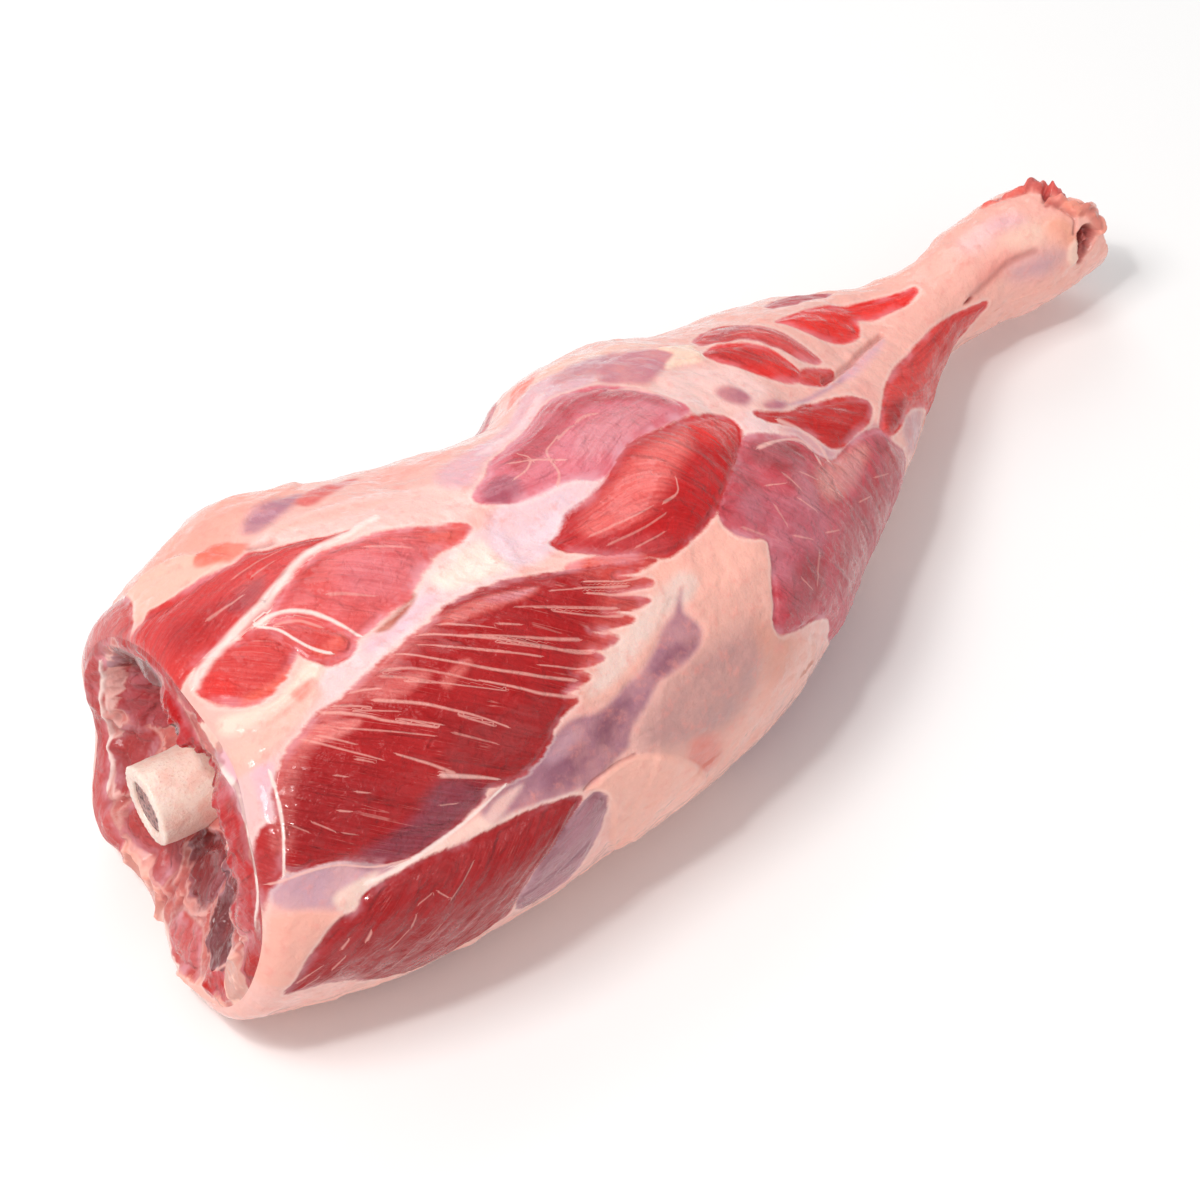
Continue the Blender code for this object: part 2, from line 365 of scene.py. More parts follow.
MUSCLES = {
    "upper_left": Muscle(((40, 84), (38, 70), (40, 57), (52, 57.5), (60.5, 59.5), (68, 62.7), (74, 64.3),
        (81, 65.8), (89, 67.7), (94, 68.5), (98, 71.5), (106, 73.5), (112, 75), (119, 76), (112, 76.8),
        (105, 78.6), (97.5, 79.8), (90.5, 81.3), (84, 83.3), (79, 83.5), (73, 82.8), (64, 81.7), (54, 82.4)),
        (220, 70, 68), (-5, 12), 1.2, 0.05, 0.5),
    "upper_middle": Muscle(((86.5, 84), (90.5, 82.7), (97, 81.5), (103, 80.5), (108.5, 80), (116, 80),
        (122.5, 80), (128, 80.7), (137, 82.3), (147.5, 84.2), (141.5, 86.5), (134, 87.5), (129, 89),
        (123, 91), (118, 93.3), (112.5, 94.7), (105, 96), (99.5, 96.7), (94, 97), (88, 97), (91, 94.5),
        (94, 93), (89, 90.4), (86, 88), (83, 85.6)), (230, 106, 106), (27, 22), 1.3, 0.12, 0.35),
    "small_bright": Muscle(((54.5, 87), (57.5, 83.8), (62, 83.2), (68, 84.2), (73, 84.8), (78, 85.2),
        (82, 87), (83.5, 89.6), (81.5, 92), (77.5, 93.6), (73, 95.4), (67.5, 96.2), (62.5, 95.4), (58, 92.8),
        (54.8, 90)), (224, 90, 88), (34, 34), 0.9, 0, 0.9),
    "small_wedge": Muscle(((80, 86.2), (84, 86.6), (88, 88.6), (92, 91), (95.5, 94), (96.5, 97.2), (92, 99.4),
        (87, 98.4), (84, 95.8), (82.5, 92.4), (81, 89)), (220, 78, 72), (40, 40), 0.6, 0.1, 0.4),
    "big": Muscle(((44, 133), (46.5, 127.5), (49, 122), (54, 116), (60, 111.5), (66, 109.5), (73, 107.5),
        (82, 106.8), (92, 106), (101, 105), (108, 103.6), (115, 102.3), (122, 100.5), (129, 99.8),
        (135, 99.8), (143, 100.6), (150, 102.2), (158, 104), (166, 105.8), (174, 108.4), (182, 112.4),
        (175, 111.8), (169, 110.8), (177, 116.8), (170, 115.8), (164, 114.4), (172.5, 120.8), (165, 119.6),
        (159, 118), (165, 123.2), (158, 122.6), (152, 121), (157, 126), (150, 125.2), (146, 124),
        (149.5, 128.8), (143, 128.2), (140, 128), (143, 131.8), (137, 131.6), (134, 132.4), (136, 135.8),
        (130, 136.4), (125, 139.5), (121, 142.5), (115.5, 145), (110, 146), (104, 145), (101, 144.5),
        (98, 147), (92, 148.8), (84, 150.8), (76, 151.8), (70, 151.4), (66, 149.6), (62, 146.8), (58, 144),
        (53, 142.2), (48.5, 141.5), (44, 140.6), (42.5, 137)), (180, 34, 38), (42, 42), 1.3, 0, 0.7),
    "big_edge": Muscle(((160, 103.2), (168, 104.4), (176, 106.4), (184, 109.4), (178, 109.8), (170, 107),
        (163, 105)), (236, 112, 96), (32, 32), 0.5, 0.1, 0.2),
    "lower": Muscle(((33, 186.5), (36.5, 179.5), (39.5, 173.5), (43, 168.5), (46.5, 164.5), (50, 161.5),
        (54, 161), (56, 159.5), (57.5, 157.3), (62.5, 156), (67.5, 155.3), (75, 154.6), (81, 154.8),
        (87.5, 155.4), (94.5, 156), (101, 156.2), (107, 156.6), (113, 157.6), (119.5, 159), (124.5, 161.5),
        (121.5, 164), (117.5, 167.2), (113, 170.8), (108.5, 174.5), (103, 179), (100, 187), (94, 195),
        (85, 200), (72, 203), (60, 199), (52, 191), (46, 187.4), (40, 186.8)), (172, 44, 48), (-42, -42), 1.3,
        0, 0.35),
    "leaf": Muscle(((163, 95.7), (168, 93.4), (172, 91.2), (174.5, 90.4), (181, 89.8), (190, 89.3),
        (198.5, 88.4), (206, 88.3), (212.5, 89.1), (217.5, 90), (222, 90.4), (227.5, 90.8), (232.5, 92),
        (238, 93), (241.5, 95.5), (242, 99), (240, 101.5), (237, 103.5), (231, 106), (225.5, 108.5),
        (219.5, 111), (213, 112.5), (206.5, 113.6), (201, 114), (196, 114), (191.5, 113.7), (187.5, 113.6),
        (184, 112), (179, 108.6), (175, 106.6), (171, 104), (167, 101), (164, 98.6)), (202, 38, 42), (12, 78),
        1.7, 0, 0.25),
    "oval": Muscle(((156, 78.5), (160, 75), (165.5, 72), (168.5, 68.5), (172.5, 66), (179.5, 63), (186, 61),
        (192.5, 60), (198.5, 60.5), (203.5, 62), (208.5, 64), (213, 66), (218, 68.5), (222, 72), (226, 77),
        (229, 81.5), (231, 86), (231.6, 89), (228, 89.4), (222, 89), (215, 88.4), (207, 87.4), (200, 87.6),
        (194, 88.2), (189, 86.8), (184, 83.6), (178, 82.4), (170, 82.6), (163, 82)), (226, 122, 140), (0, 0),
        1.3, 0.2),
    "knee": Muscle(((237, 104.2), (240, 103), (244.5, 104.8), (250, 107.7), (253.5, 110.2), (257, 114.5),
        (258, 119), (259.5, 125), (263, 129.5), (267.5, 130.2), (273, 131), (279, 132), (284, 134.5),
        (288, 138), (290, 143), (291, 150), (294, 158), (296, 168), (294, 182), (280, 196), (262, 204),
        (246, 204), (236, 196), (232, 184), (231, 174), (226, 167), (221, 163), (214, 160), (207, 156),
        (205.5, 151), (209, 146), (212, 140.5), (216, 134), (219, 130), (218, 127), (214.5, 125), (211, 121),
        (210, 116), (214, 111.6), (220, 109.6), (226, 107.6), (231, 106.4)), (198, 70, 86), (60, 85), 1.3,
        0.18, 0.35),
    "wedge": Muscle(((251.5, 98), (256, 100.6), (263.5, 104.6), (270, 106), (275.5, 109.3), (281, 112.5),
        (286, 115.8), (291, 121.9), (291.5, 126.7), (288, 129.4), (284, 130), (279.5, 128.6), (275, 128.3),
        (270.5, 127.9), (267, 125), (265.5, 122), (264.5, 118.2), (263, 113.3), (260, 108.2), (256, 103.7),
        (252.5, 100.1)), (204, 52, 50), (40, 40), 0.9, 0, 0.1),
    "shank_lens": Muscle(((257.6, 71.5), (262, 69.8), (266, 71.6), (271, 75.5), (275.5, 81), (279, 89),
        (280, 94.4), (277, 95.8), (272, 92.8), (266.5, 87), (263, 82.8), (260, 79), (257.8, 74.5)),
        (238, 66, 60), (52, 52), 1, 0, 0.2),
    "shank_dusky": Muscle(((262, 59), (268, 56), (275, 56.5), (279, 62), (282, 68.6), (285, 75.6),
        (287.5, 81), (289.6, 86), (291, 90.4), (291.5, 93.3), (289.6, 93.8), (286.5, 91.4), (284, 88.4),
        (281.5, 84.6), (279, 81), (276.5, 76.4), (273, 72.6), (268, 69.6), (264.5, 66.4), (261.5, 63.5)),
        (222, 88, 86), (50, 50), 0.9, 0.05, 0.3),
    "shank_front": Muscle(((291, 73), (298, 73.3), (304.5, 72.7), (311, 72.7), (317.5, 73.6), (322.5, 76.4),
        (331.5, 78.5), (337.5, 83.4), (343.5, 88.7), (344, 92.5), (338, 94.6), (332, 92.4), (325.5, 89.8),
        (321.5, 86.6), (319, 85.6), (316.4, 89.6), (314.6, 93), (311.5, 94.5), (307.5, 93.7), (303.5, 91),
        (300, 87.5), (297, 83.9), (295, 79.8), (292, 75)), (246, 62, 54), (24, 14), 1, 0, 0.2),
    "shank_edge": Muscle(((298, 52), (305, 47), (313, 46), (320, 48), (322, 54), (314, 60), (305, 61),
        (299, 59)), (200, 84, 90), (10, 10), 0.5, 0.1),
    "shank_drop": Muscle(((280, 94.9), (284.5, 95.5), (289, 98.3), (292.5, 102.3), (289, 103.8), (284, 104),
        (280.5, 100.6), (278, 97.2)), (228, 76, 68), (40, 40), 0.5),
    "calf": Muscle(((289, 139), (293, 134.5), (298, 131), (304, 128), (311.5, 125.8), (321, 126.8),
        (329.5, 130), (336, 133.3), (341.5, 137.5), (346, 144), (351, 152), (355, 157), (359.5, 159.5),
        (363.5, 162), (364.5, 166), (361, 174), (356, 182), (351, 192), (346, 204), (338, 208), (328, 202),
        (322, 190), (320, 176), (318, 165), (314, 155), (309, 148), (303, 146), (297, 146), (292, 144)),
        (226, 80, 76), (35, 15), 0.9, 0, 0.2),
    "low_film": Muscle(((113, 172), (117, 168.7), (121.5, 165.5), (126, 163.6), (130, 163.6), (132.5, 167),
        (132, 172), (129.5, 177), (126, 182), (123, 188), (118, 194), (109, 197), (102, 191), (104, 181)),
        (172, 126, 140), (-20, -20), 0.4, 0.2),
    "under_back": Muscle(((60, 236), (85, 228), (115, 230), (140, 238), (150, 250), (135, 266), (105, 272),
        (75, 268), (58, 252)), (168, 56, 56), (10, 10), 0.6, 0.2, 0.3),
    "under_front": Muscle(((70, 306), (92, 292), (130, 288), (165, 294), (188, 308), (184, 326), (155, 340),
        (115, 342), (82, 330)), (176, 58, 60), (-12, -12), 1, 0.15, 0.5),
    "under_knee": Muscle(((205, 300), (232, 284), (262, 282), (286, 292), (292, 312), (270, 328), (236, 330),
        (212, 320)), (190, 74, 74), (14, 14), 0.9, 0.25, 0.3),
    "under_calf": Muscle(((196, 226), (222, 214), (252, 214), (270, 228), (262, 254), (230, 264), (204, 250)),
        (172, 66, 70), (-20, -20), 0.8, 0.35, 0.3),
    "far_lip": Muscle(((34, 8), (52, 14), (60, 22), (64, 34), (63, 46), (58, 54), (50, 57), (34, 58),
        (30, 30)), (210, 94, 90), (60, 60), 0.6, 0.1, 0.1),
    "lip_red": Muscle(((45.5, 126), (47, 129), (43.6, 135), (41, 140), (37, 144), (34, 150), (31, 158),
        (28.6, 166), (24, 171), (12, 171), (14, 150), (26, 142), (36, 136), (41, 130), (43.5, 126.5)),
        (192, 54, 54), (60, 60), 0.6, 0.05, 0.2),
    "front_high": Muscle(((146, 10), (170, 2), (196, 4), (206, 16), (190, 27), (164, 28), (148, 22)),
        (206, 92, 94), (5, 5), 0.7, 0.3, 0.2),
}

THIGH_TINT = (243, 184, 174)
SHANK_TINT = (252, 184, 170)

PATCHES = (
    # Between the big muscle and the lower one.
    Patch(((40, 141), (50, 142), (60, 145), (70, 151), (64, 154.5), (54, 158), (46, 158), (38, 152),
        (36, 146)), (206, 158, 170), 1.6),
    Patch(((58, 143.4), (64, 144.6), (69, 150), (66, 151.5), (61, 149.5)), (150, 90, 110), 1.6),
    Patch(((26, 158), (38, 153), (48, 157), (51, 160.5), (45, 164), (39, 172), (34, 182), (24, 178)),
        (244, 176, 160), 2, 0.4),
    Patch(((51, 153.5), (58, 152), (64, 152), (60, 155.5), (57, 158.5), (52, 160), (50, 157)),
        (240, 208, 196), 1.2),
    Patch(((62, 153.2), (70, 153.5), (78, 152.5), (88, 151.6), (98, 151), (108, 153), (118, 156.4),
        (128, 158.4), (124, 160.2), (112, 156.8), (98, 155.4), (84, 154.2), (72, 154.2), (62, 155.4)),
        (250, 206, 194), 0.9, 0.3),
    # The fat sheet of the thigh.
    Patch(((136, 131), (142, 128), (150, 124.6), (158, 123), (168, 122), (174, 119), (176, 112), (184, 110),
        (192, 114), (204, 114.5), (214, 113), (214, 122), (219, 129), (213, 139), (207, 148), (206, 158),
        (216, 166), (222, 176), (214, 200), (190, 214), (150, 204), (140, 184), (152, 163), (158, 147),
        (164, 142), (174, 141), (181, 138), (182, 130), (180, 124), (172, 128), (164, 134), (156, 137),
        (148, 139.5), (138, 138)), (238, 176, 162), 2.5, 0.5),
    Patch(((178, 112), (190, 115), (206, 115), (214, 118), (217, 126), (208, 133), (192, 130), (182, 121)),
        (255, 186, 170), 5),
    Patch(((157, 148), (166, 143), (178, 142.5), (196, 144), (200, 154), (190, 166), (176, 172), (160, 166),
        (150, 160), (151, 153)), (196, 146, 142), 6),
    Patch(((198, 146), (206, 152), (212, 162), (206, 172), (196, 166)), (226, 158, 142), 5),
    Patch(((164, 167), (171, 169), (176, 178), (170, 184), (163, 178)), (226, 134, 122), 3),
    Patch(((148, 130), (156, 126), (166, 123.4), (176, 120.4), (186, 119), (190, 124), (184, 127), (176, 127),
        (166, 130), (156, 134), (146, 136.6), (140, 135.6)), (236, 204, 194), 2),
    # The purple film between the big muscle and the fat sheet.
    Patch(((97, 150), (103.5, 147), (110, 146), (116.5, 144.4), (122, 142.3), (126.5, 140.3), (131, 139.5),
        (135.5, 140), (140, 141.5), (143.5, 141.5), (148, 140), (152, 138.5), (157, 137.5), (162, 135.5),
        (167.5, 132.5), (171.5, 129.5), (177.5, 127.5), (183.5, 123), (180, 128.5), (181, 132.5),
        (181.6, 136.5), (178.5, 139.7), (173.5, 141.2), (168.5, 141.7), (162.5, 142), (158.5, 144),
        (155, 147), (150, 150), (146.5, 153), (144.5, 156.4), (140, 157.6), (134.5, 158.8), (130.5, 159.8),
        (126.5, 159.2), (119.5, 157.5), (112.5, 156), (106, 154.6), (99, 153.8)), (172, 116, 132), 1.4),
    Patch(((137, 146), (141, 143), (147, 141.5), (150, 143), (146, 148), (141, 152), (136, 152)),
        (142, 84, 102), 3),
    Patch(((118, 151), (126, 147), (132, 147), (134, 152), (126, 156), (117, 155)), (150, 92, 110), 3),
    Patch(((161, 139), (168, 136), (176, 136), (179, 138), (172, 140.6), (163, 141.4)), (148, 90, 108), 2),
    Patch(((120, 144.5), (127, 142), (133, 142), (130, 146), (122, 148)), (196, 146, 160), 2.5),
    Patch(((97, 152), (102, 149.5), (108, 148.6), (111, 149.4), (104, 152.6), (99, 154.6)), (236, 190, 184),
        1.2, 0.2),
    Patch(((127.5, 160.4), (131, 160), (136.5, 159), (143, 159.2), (147, 160.2), (152, 163), (158, 168),
        (166, 178), (170, 188), (158, 199), (140, 200), (134, 186), (134, 172), (131, 164)), (248, 184, 168),
        0.7, 1),
    # The white tissue between the upper muscles and the big one.
    Patch(((56, 102), (62, 98.5), (75, 98), (90, 98.6), (99, 98), (106, 97.4), (113, 96.2), (120, 93.6),
        (126, 91), (132, 89.4), (140, 88), (148, 85.6), (154, 88), (152, 96), (146, 99.4), (138, 98.8),
        (129, 98.8), (121, 99.6), (113, 101.6), (105, 103.4), (94, 105.2), (84, 106), (74, 106.6),
        (64, 108.6), (56, 108)), (242, 204, 206), 1.2, 0.3),
    Patch(((98, 99.4), (106, 98.8), (114, 97.2), (120, 95.4), (124, 96.4), (116, 99.6), (106, 101.6),
        (97, 102)), (232, 190, 202), 1.5),
    Patch(((126, 92), (134, 90), (146, 88), (150, 92), (146, 97), (136, 97.4), (128, 96.4)), (254, 226, 214),
        2),
    Patch(((103, 98), (108, 96.8), (113, 95.4), (118.5, 93.4), (119.5, 94.4), (113, 97.4), (106, 99.2)),
        (178, 84, 66), 0.7, -0.4),
    Patch(((53, 94.6), (60, 96.6), (68, 98), (76, 96.6), (82, 95), (87, 96.6), (83, 99.6), (74, 102),
        (64, 103), (56, 101.6), (51, 98)), (254, 216, 200), 1.2, 1),
    Patch(((52, 101), (62, 101), (72, 100.4), (80, 100), (78, 104), (70, 106.6), (60, 109), (50, 109),
        (46, 104)), (252, 188, 174), 2.2, 0.8),
    Patch(((72, 99.6), (76, 99), (80, 99.4), (77, 101.4), (73, 102.4)), (250, 150, 136), 1),
    Patch(((34, 110), (47, 110), (54, 110), (60, 110), (54, 115), (49.6, 121), (46, 127), (43, 134),
        (36, 140), (28, 138), (30, 120)), (240, 190, 188), 1, 0.4),
    Patch(((50, 111), (55, 110.6), (54, 114), (50, 120), (47.4, 125), (46, 123), (48, 116)), (226, 180, 192),
        1.2),
    # The far, front side of the hip end.
    Patch(((66, 20), (88, 10), (112, 12), (126, 30), (126, 44), (112, 54), (98, 60), (90, 62), (80, 56),
        (70, 44)), (250, 168, 152), 7, 0.8),
    Patch(((60, 42), (70, 42), (80, 48), (86, 58), (90, 65.5), (84, 66), (77, 65.6), (70, 65.4), (64, 63),
        (58, 54)), (252, 192, 174), 1.4, 1),
    Patch(((82, 57.5), (88, 57.5), (94, 62.5), (96, 66.5), (91, 67), (85, 64.5), (81, 61)), (248, 116, 96),
        0.9, 0.6),
    Patch(((68, 57.5), (72, 57), (77, 61), (75, 63), (69, 61.4)), (230, 100, 92), 1, 0, 1),
    Patch(((58, 52), (62, 50), (66, 56), (64, 61), (60, 60)), (214, 84, 84), 1.2, 0, 1),
    Patch(((94, 67), (104, 64), (116, 62.5), (130, 62), (144, 64), (156, 70), (158, 78), (148, 83),
        (138, 81.8), (128, 80), (118, 79), (120, 75.4), (113, 73.6), (104, 71)), (252, 202, 194), 1.6, 0.3),
    Patch(((104, 66), (116, 64), (130, 65.4), (140, 68), (130, 70), (114, 68.6)), (250, 190, 178), 2),
    Patch(((98, 61), (106, 56), (116, 52.6), (122, 52), (118, 57), (110, 61), (102, 64)), (186, 122, 140),
        1.8),
    Patch(((117, 57), (124, 52), (132, 48.6), (140, 47.6), (136, 52), (127, 57), (119, 60)), (218, 84, 84),
        1.2),
    Patch(((136, 52), (150, 48), (166, 47), (168, 52), (156, 56), (142, 58)), (248, 170, 158), 2.5),
    # Round the silver-skinned oval.
    Patch(((156, 62), (170, 56), (184, 50), (198, 47), (214, 46), (226, 48), (230, 54), (224, 60), (216, 65),
        (206, 61.4), (196, 58.6), (184, 60.4), (172, 64.4), (164, 70), (158, 74), (152, 70)), (232, 178, 188),
        2.5),
    Patch(((170, 60), (182, 56), (194, 54), (204, 55), (200, 58), (188, 58.6), (176, 62)), (246, 208, 212),
        1.6),
    Patch(((212, 50), (222, 48), (234, 50), (236, 56), (226, 62), (216, 60), (210, 55)), (206, 138, 150),
        2.5),
    Patch(((210, 36), (224, 40), (238, 46), (250, 52), (240, 53), (226, 50), (212, 46), (204, 42)),
        (250, 190, 172), 2.5),
    Patch(((194, 41), (204, 36), (216, 33), (212, 40), (202, 45)), (248, 122, 104), 1.2),
    Patch(((222, 62), (227, 58), (234, 56.6), (244, 58), (251.5, 62), (250, 67), (244, 71), (238, 74),
        (230, 76), (224, 71), (219, 67)), (208, 126, 140), 1.5, 0.4),
    Patch(((184, 66), (192, 65.5), (200, 66), (209, 67.5), (218, 71.5), (225, 77.5), (229, 84), (226, 86.5),
        (221, 81), (214, 76), (206, 73), (198, 72), (191, 72.6), (183, 73.4), (177, 75.4), (172, 76),
        (172, 71), (177, 68)), (200, 78, 92), 1.4, 0, 1),
    Patch(((190, 61.4), (199, 61.6), (209, 65), (217, 69), (212, 69.5), (202, 66), (192, 65)),
        (216, 116, 128), 1.2, 0, 1),
    Patch(((157, 79), (162, 75.5), (167, 74.5), (170, 77), (168, 81), (161, 82.5)), (180, 98, 120), 1.6, 0,
        1),
    Patch(((196, 76), (206, 76.6), (216, 80), (223, 85), (214, 87), (203, 87), (194, 84.5), (190, 79.6)),
        (228, 152, 164), 3, 0, 0.9),
    Patch(((154, 84), (160, 82.4), (170, 82), (180, 81.4), (186, 84.6), (192, 87.6), (186, 89.4), (178, 90.2),
        (173, 92.6), (166, 95.6), (158, 98), (150, 97), (148, 90)), (236, 202, 210), 1.8),
    Patch(((247, 60), (253, 58.6), (259, 61.6), (257.5, 66), (257, 71.6), (253, 74.5), (246, 73), (242, 73.4),
        (243.5, 70.6), (249, 66.5)), (255, 218, 196), 0.8, 0.7),
    Patch(((226, 79), (236, 76), (246, 75), (256, 78.6), (262, 84), (264, 92), (252, 96), (243, 93),
        (236, 90.6), (231, 86)), (252, 206, 200), 2.5),
    Patch(((247, 87.5), (251, 87), (255, 90), (254.5, 93.4), (250.5, 94.2), (247, 91)), (184, 104, 122), 1.3),
    Patch(((257, 96.6), (262, 97.4), (266, 100.6), (262, 101.6), (257.5, 99.6)), (190, 110, 128), 1.3),
    Patch(((242, 96), (247, 95), (253, 98), (252, 102.5), (256, 105), (252, 108.6), (243, 106.4),
        (236, 105.4), (231, 108), (225, 110.6), (219, 114.6), (216, 114), (222, 110.4), (231, 106.6),
        (239, 102.8), (242.6, 99.6)), (248, 206, 204), 1, 0.3),
    Patch(((254, 108), (260, 107), (263, 114), (264, 121), (267, 126), (263, 131), (257, 136), (250, 139),
        (247, 134), (250, 124), (255, 118)), (216, 160, 166), 2.5),
    Patch(((266, 101.5), (276, 104), (286, 106), (297, 107.4), (292, 109.6), (282, 107.6), (272, 105)),
        (206, 150, 164), 1),
    Patch(((294, 107), (302, 106.6), (312, 106.4), (320, 106), (314, 110), (304, 111.6), (296, 111)),
        (232, 174, 188), 2),
    Patch(((262, 128), (270, 128), (280, 127), (288, 132), (290, 140), (284, 144.6), (270, 146), (258, 146),
        (252, 142), (256, 134)), (214, 152, 158), 2.5),
    Patch(((281, 134), (286, 133), (289, 138), (286, 142), (281, 140)), (172, 88, 90), 1.5),
    Patch(((282, 123), (287, 121.6), (293, 123), (291, 129), (286, 132.6), (281, 130), (279, 126)),
        (250, 188, 176), 1.2, 0.5),
    Patch(((292, 118), (298, 114), (300, 120), (296, 127), (291, 124)), (240, 170, 160), 1.6),
    Patch(((300, 147), (308, 150), (314, 158), (314, 172), (306, 180), (300, 172), (298, 158)),
        (206, 150, 156), 2.5),
    # On muscles, colours of their own.
    Patch(((43, 133), (46, 125), (49, 119), (54, 113), (61, 108.6), (72, 106), (84, 105), (96, 104),
        (108, 102), (118, 100.4), (121, 102), (108, 105.6), (96, 107.8), (84, 109.4), (74, 111), (64, 114.4),
        (57, 119.4), (51, 127), (47, 134)), (232, 150, 146), 2.2, 0, 0.7),
    Patch(((62, 144.5), (70, 142.5), (78, 140.5), (85, 137), (91, 135.5), (97, 138.5), (101, 144), (98, 147),
        (91, 149), (83, 151), (74, 152), (67, 150.6)), (150, 80, 98), 3, 0, 0.9),
    Patch(((119, 102.6), (124, 101.8), (131, 102), (139, 103), (148, 105.2), (143, 106.6), (136, 106.2),
        (129, 106), (122, 105.2), (117.6, 104.6)), (228, 132, 126), 0.9, 0.3, 0.85),
    Patch(((132, 102.8), (139, 103.6), (147, 105.2), (141, 106), (134, 105)), (222, 160, 170), 0.8, 0, 0.8),
    Patch(((86.5, 109.6), (93, 109.2), (100, 110.6), (105, 113), (99, 114.2), (91, 113.4)), (232, 142, 138),
        1.2, 0.2, 0.7),
    Patch(((65, 109.8), (71, 109.4), (78, 111.6), (81.5, 114), (75, 114.6), (68, 112.6)), (240, 160, 154),
        0.9, 0.2, 0.8),
    Patch(((105, 116), (109, 114.4), (115.5, 113.4), (116, 115.2), (110, 116.8), (106, 118)), (226, 128, 122),
        0.8, 0.2, 0.7),
    Patch(((100, 124), (112, 126), (122, 129), (128, 133), (122, 139), (112, 143), (100, 140), (92, 132)),
        (158, 48, 52), 6, 0, 0.6),
    Patch(((50, 123), (60, 116), (72, 122), (80, 130), (80, 138), (66, 141), (50, 138), (46, 130)),
        (158, 36, 42), 6, 0, 0.6),
    Patch(((160, 105), (172, 107.6), (184, 112), (182, 116), (178, 120), (170, 124), (162, 126), (154, 129),
        (146, 132), (139, 136), (134, 136), (140, 130), (150, 123), (158, 117), (164, 111)), (226, 116, 108),
        3.5, 0, 0.6),
    Patch(((170, 107.6), (177, 109.4), (180, 111.6), (172, 112.4), (166, 109.6)), (222, 84, 76), 2, 0, 0.7),
    Patch(((60, 71), (68, 72), (76, 75), (74, 79), (64, 80), (57, 78)), (186, 42, 44), 3.5, 0, 0.8),
    Patch(((76, 77), (84, 76), (90, 77), (86, 79.8), (78, 80.4)), (168, 72, 82), 1.8, 0, 0.7),
    Patch(((110, 84), (124, 85), (128, 88), (122, 91), (112, 92.6), (104, 90)), (230, 140, 150), 4, 0, 0.6),
    Patch(((136, 82.6), (147.5, 84.2), (142, 86.4), (134, 86)), (240, 110, 96), 2, 0, 0.8),
    Patch(((97, 82), (106, 81), (104, 83.6), (97, 84.6), (91, 84.6)), (206, 62, 58), 1.5, 0, 0.7),
    Patch(((55.5, 88), (61, 87), (63, 91), (59, 92.6), (55.5, 90.5)), (232, 66, 62), 1.4, 0, 0.9),
    Patch(((62, 94), (70, 94.6), (78, 94), (74, 96), (66, 97), (60, 95)), (250, 130, 110), 1, 0, 0.8),
    Patch(((86, 94.6), (92, 94.6), (96, 95), (93.5, 97), (87.5, 97)), (240, 108, 88), 1, 0, 0.8),
    Patch(((172, 95), (180, 91.6), (192, 90.6), (205, 91), (217, 91.6), (224, 93), (219, 97), (210, 99),
        (200, 101), (190, 102), (180, 101), (172, 99)), (242, 132, 128), 2.5, 0.3, 0.9),
    Patch(((226, 91.6), (234, 92.4), (241, 95.4), (242, 99), (237, 101.4), (229, 101), (222, 97)),
        (238, 50, 44), 2.5, 0, 0.9),
    Patch(((168, 99), (178, 102), (186, 106), (190, 112), (184, 112), (176, 107.4), (169, 102.4)),
        (196, 86, 92), 2.5, 0, 0.6),
    Patch(((216, 116), (224, 116), (234, 122), (242, 130), (243, 140), (234, 146), (224, 146), (214, 142),
        (216, 133), (221, 127), (216, 122)), (196, 108, 126), 3, 0, 0.8),
    Patch(((218, 142), (226, 141), (233, 144), (233, 152), (226, 157), (217, 156), (213, 150)), (166, 60, 68),
        2.6, 0, 0.7),
    Patch(((238, 109), (246, 110.6), (253, 114), (251, 117), (244, 114.6), (237, 112)), (156, 38, 42), 1.2, 0,
        0.85),
    Patch(((245, 116), (251, 118), (248, 124), (246, 132), (240, 133), (240, 124)), (196, 128, 140), 2.2, 0,
        0.8),
    Patch(((280, 108), (288, 110.4), (294, 115), (294, 119), (287, 119), (280, 114)), (222, 74, 64), 2.2, 0,
        0.7),
    Patch(((263, 64), (272, 61.6), (280, 62.6), (281, 68), (273, 68), (265, 66)), (196, 110, 118), 2.5, 0,
        0.7),
    Patch(((258, 71), (264, 72), (270, 79), (272, 86), (266, 84), (260, 77)), (184, 58, 60), 2.2, 0, 0.6),
    Patch(((294, 136), (302, 134), (306, 140), (302, 145), (294, 144)), (158, 56, 60), 2.2, 0, 0.7),
    Patch(((282, 148), (290, 147), (296, 154), (294, 164), (286, 164), (281, 156)), (204, 130, 132), 3, 0,
        0.6),
    Patch(((238, 106), (246, 107), (252, 112), (253, 118), (247, 121), (240, 117), (236, 111)), (160, 36, 46),
        2, 0, 0.8),
    Patch(((262, 128), (270, 131), (277, 134), (278, 139), (270, 142), (261, 142), (252, 138), (247, 133),
        (251, 126)), (226, 164, 158), 3, 0, 0.85),
    Patch(((246, 150), (252, 147), (260, 147), (270, 147), (280, 146), (288, 150), (290, 160), (280, 174),
        (262, 180), (246, 178), (238, 168), (240, 156)), (178, 70, 74), 3, 0, 0.6),
    Patch(((284, 138), (288, 140), (289, 146), (285, 148), (281, 143)), (160, 64, 66), 1.5, 0, 0.7),
    Patch(((38, 184), (46, 183.4), (54, 186), (56, 190), (48, 190), (40, 188)), (206, 150, 150), 1.2, 0, 0.7),
    # The hock.
    Patch(((378, 86), (384, 84), (389, 92), (389, 102), (382, 102), (377, 94)), (232, 176, 182), 4),
    Patch(((368, 84), (376, 84), (378, 96), (374, 106), (367, 100)), (246, 198, 196), 4),
    Patch(((380, 106), (388, 104), (394, 112), (394, 124), (386, 126), (380, 116)), (250, 204, 186), 5),
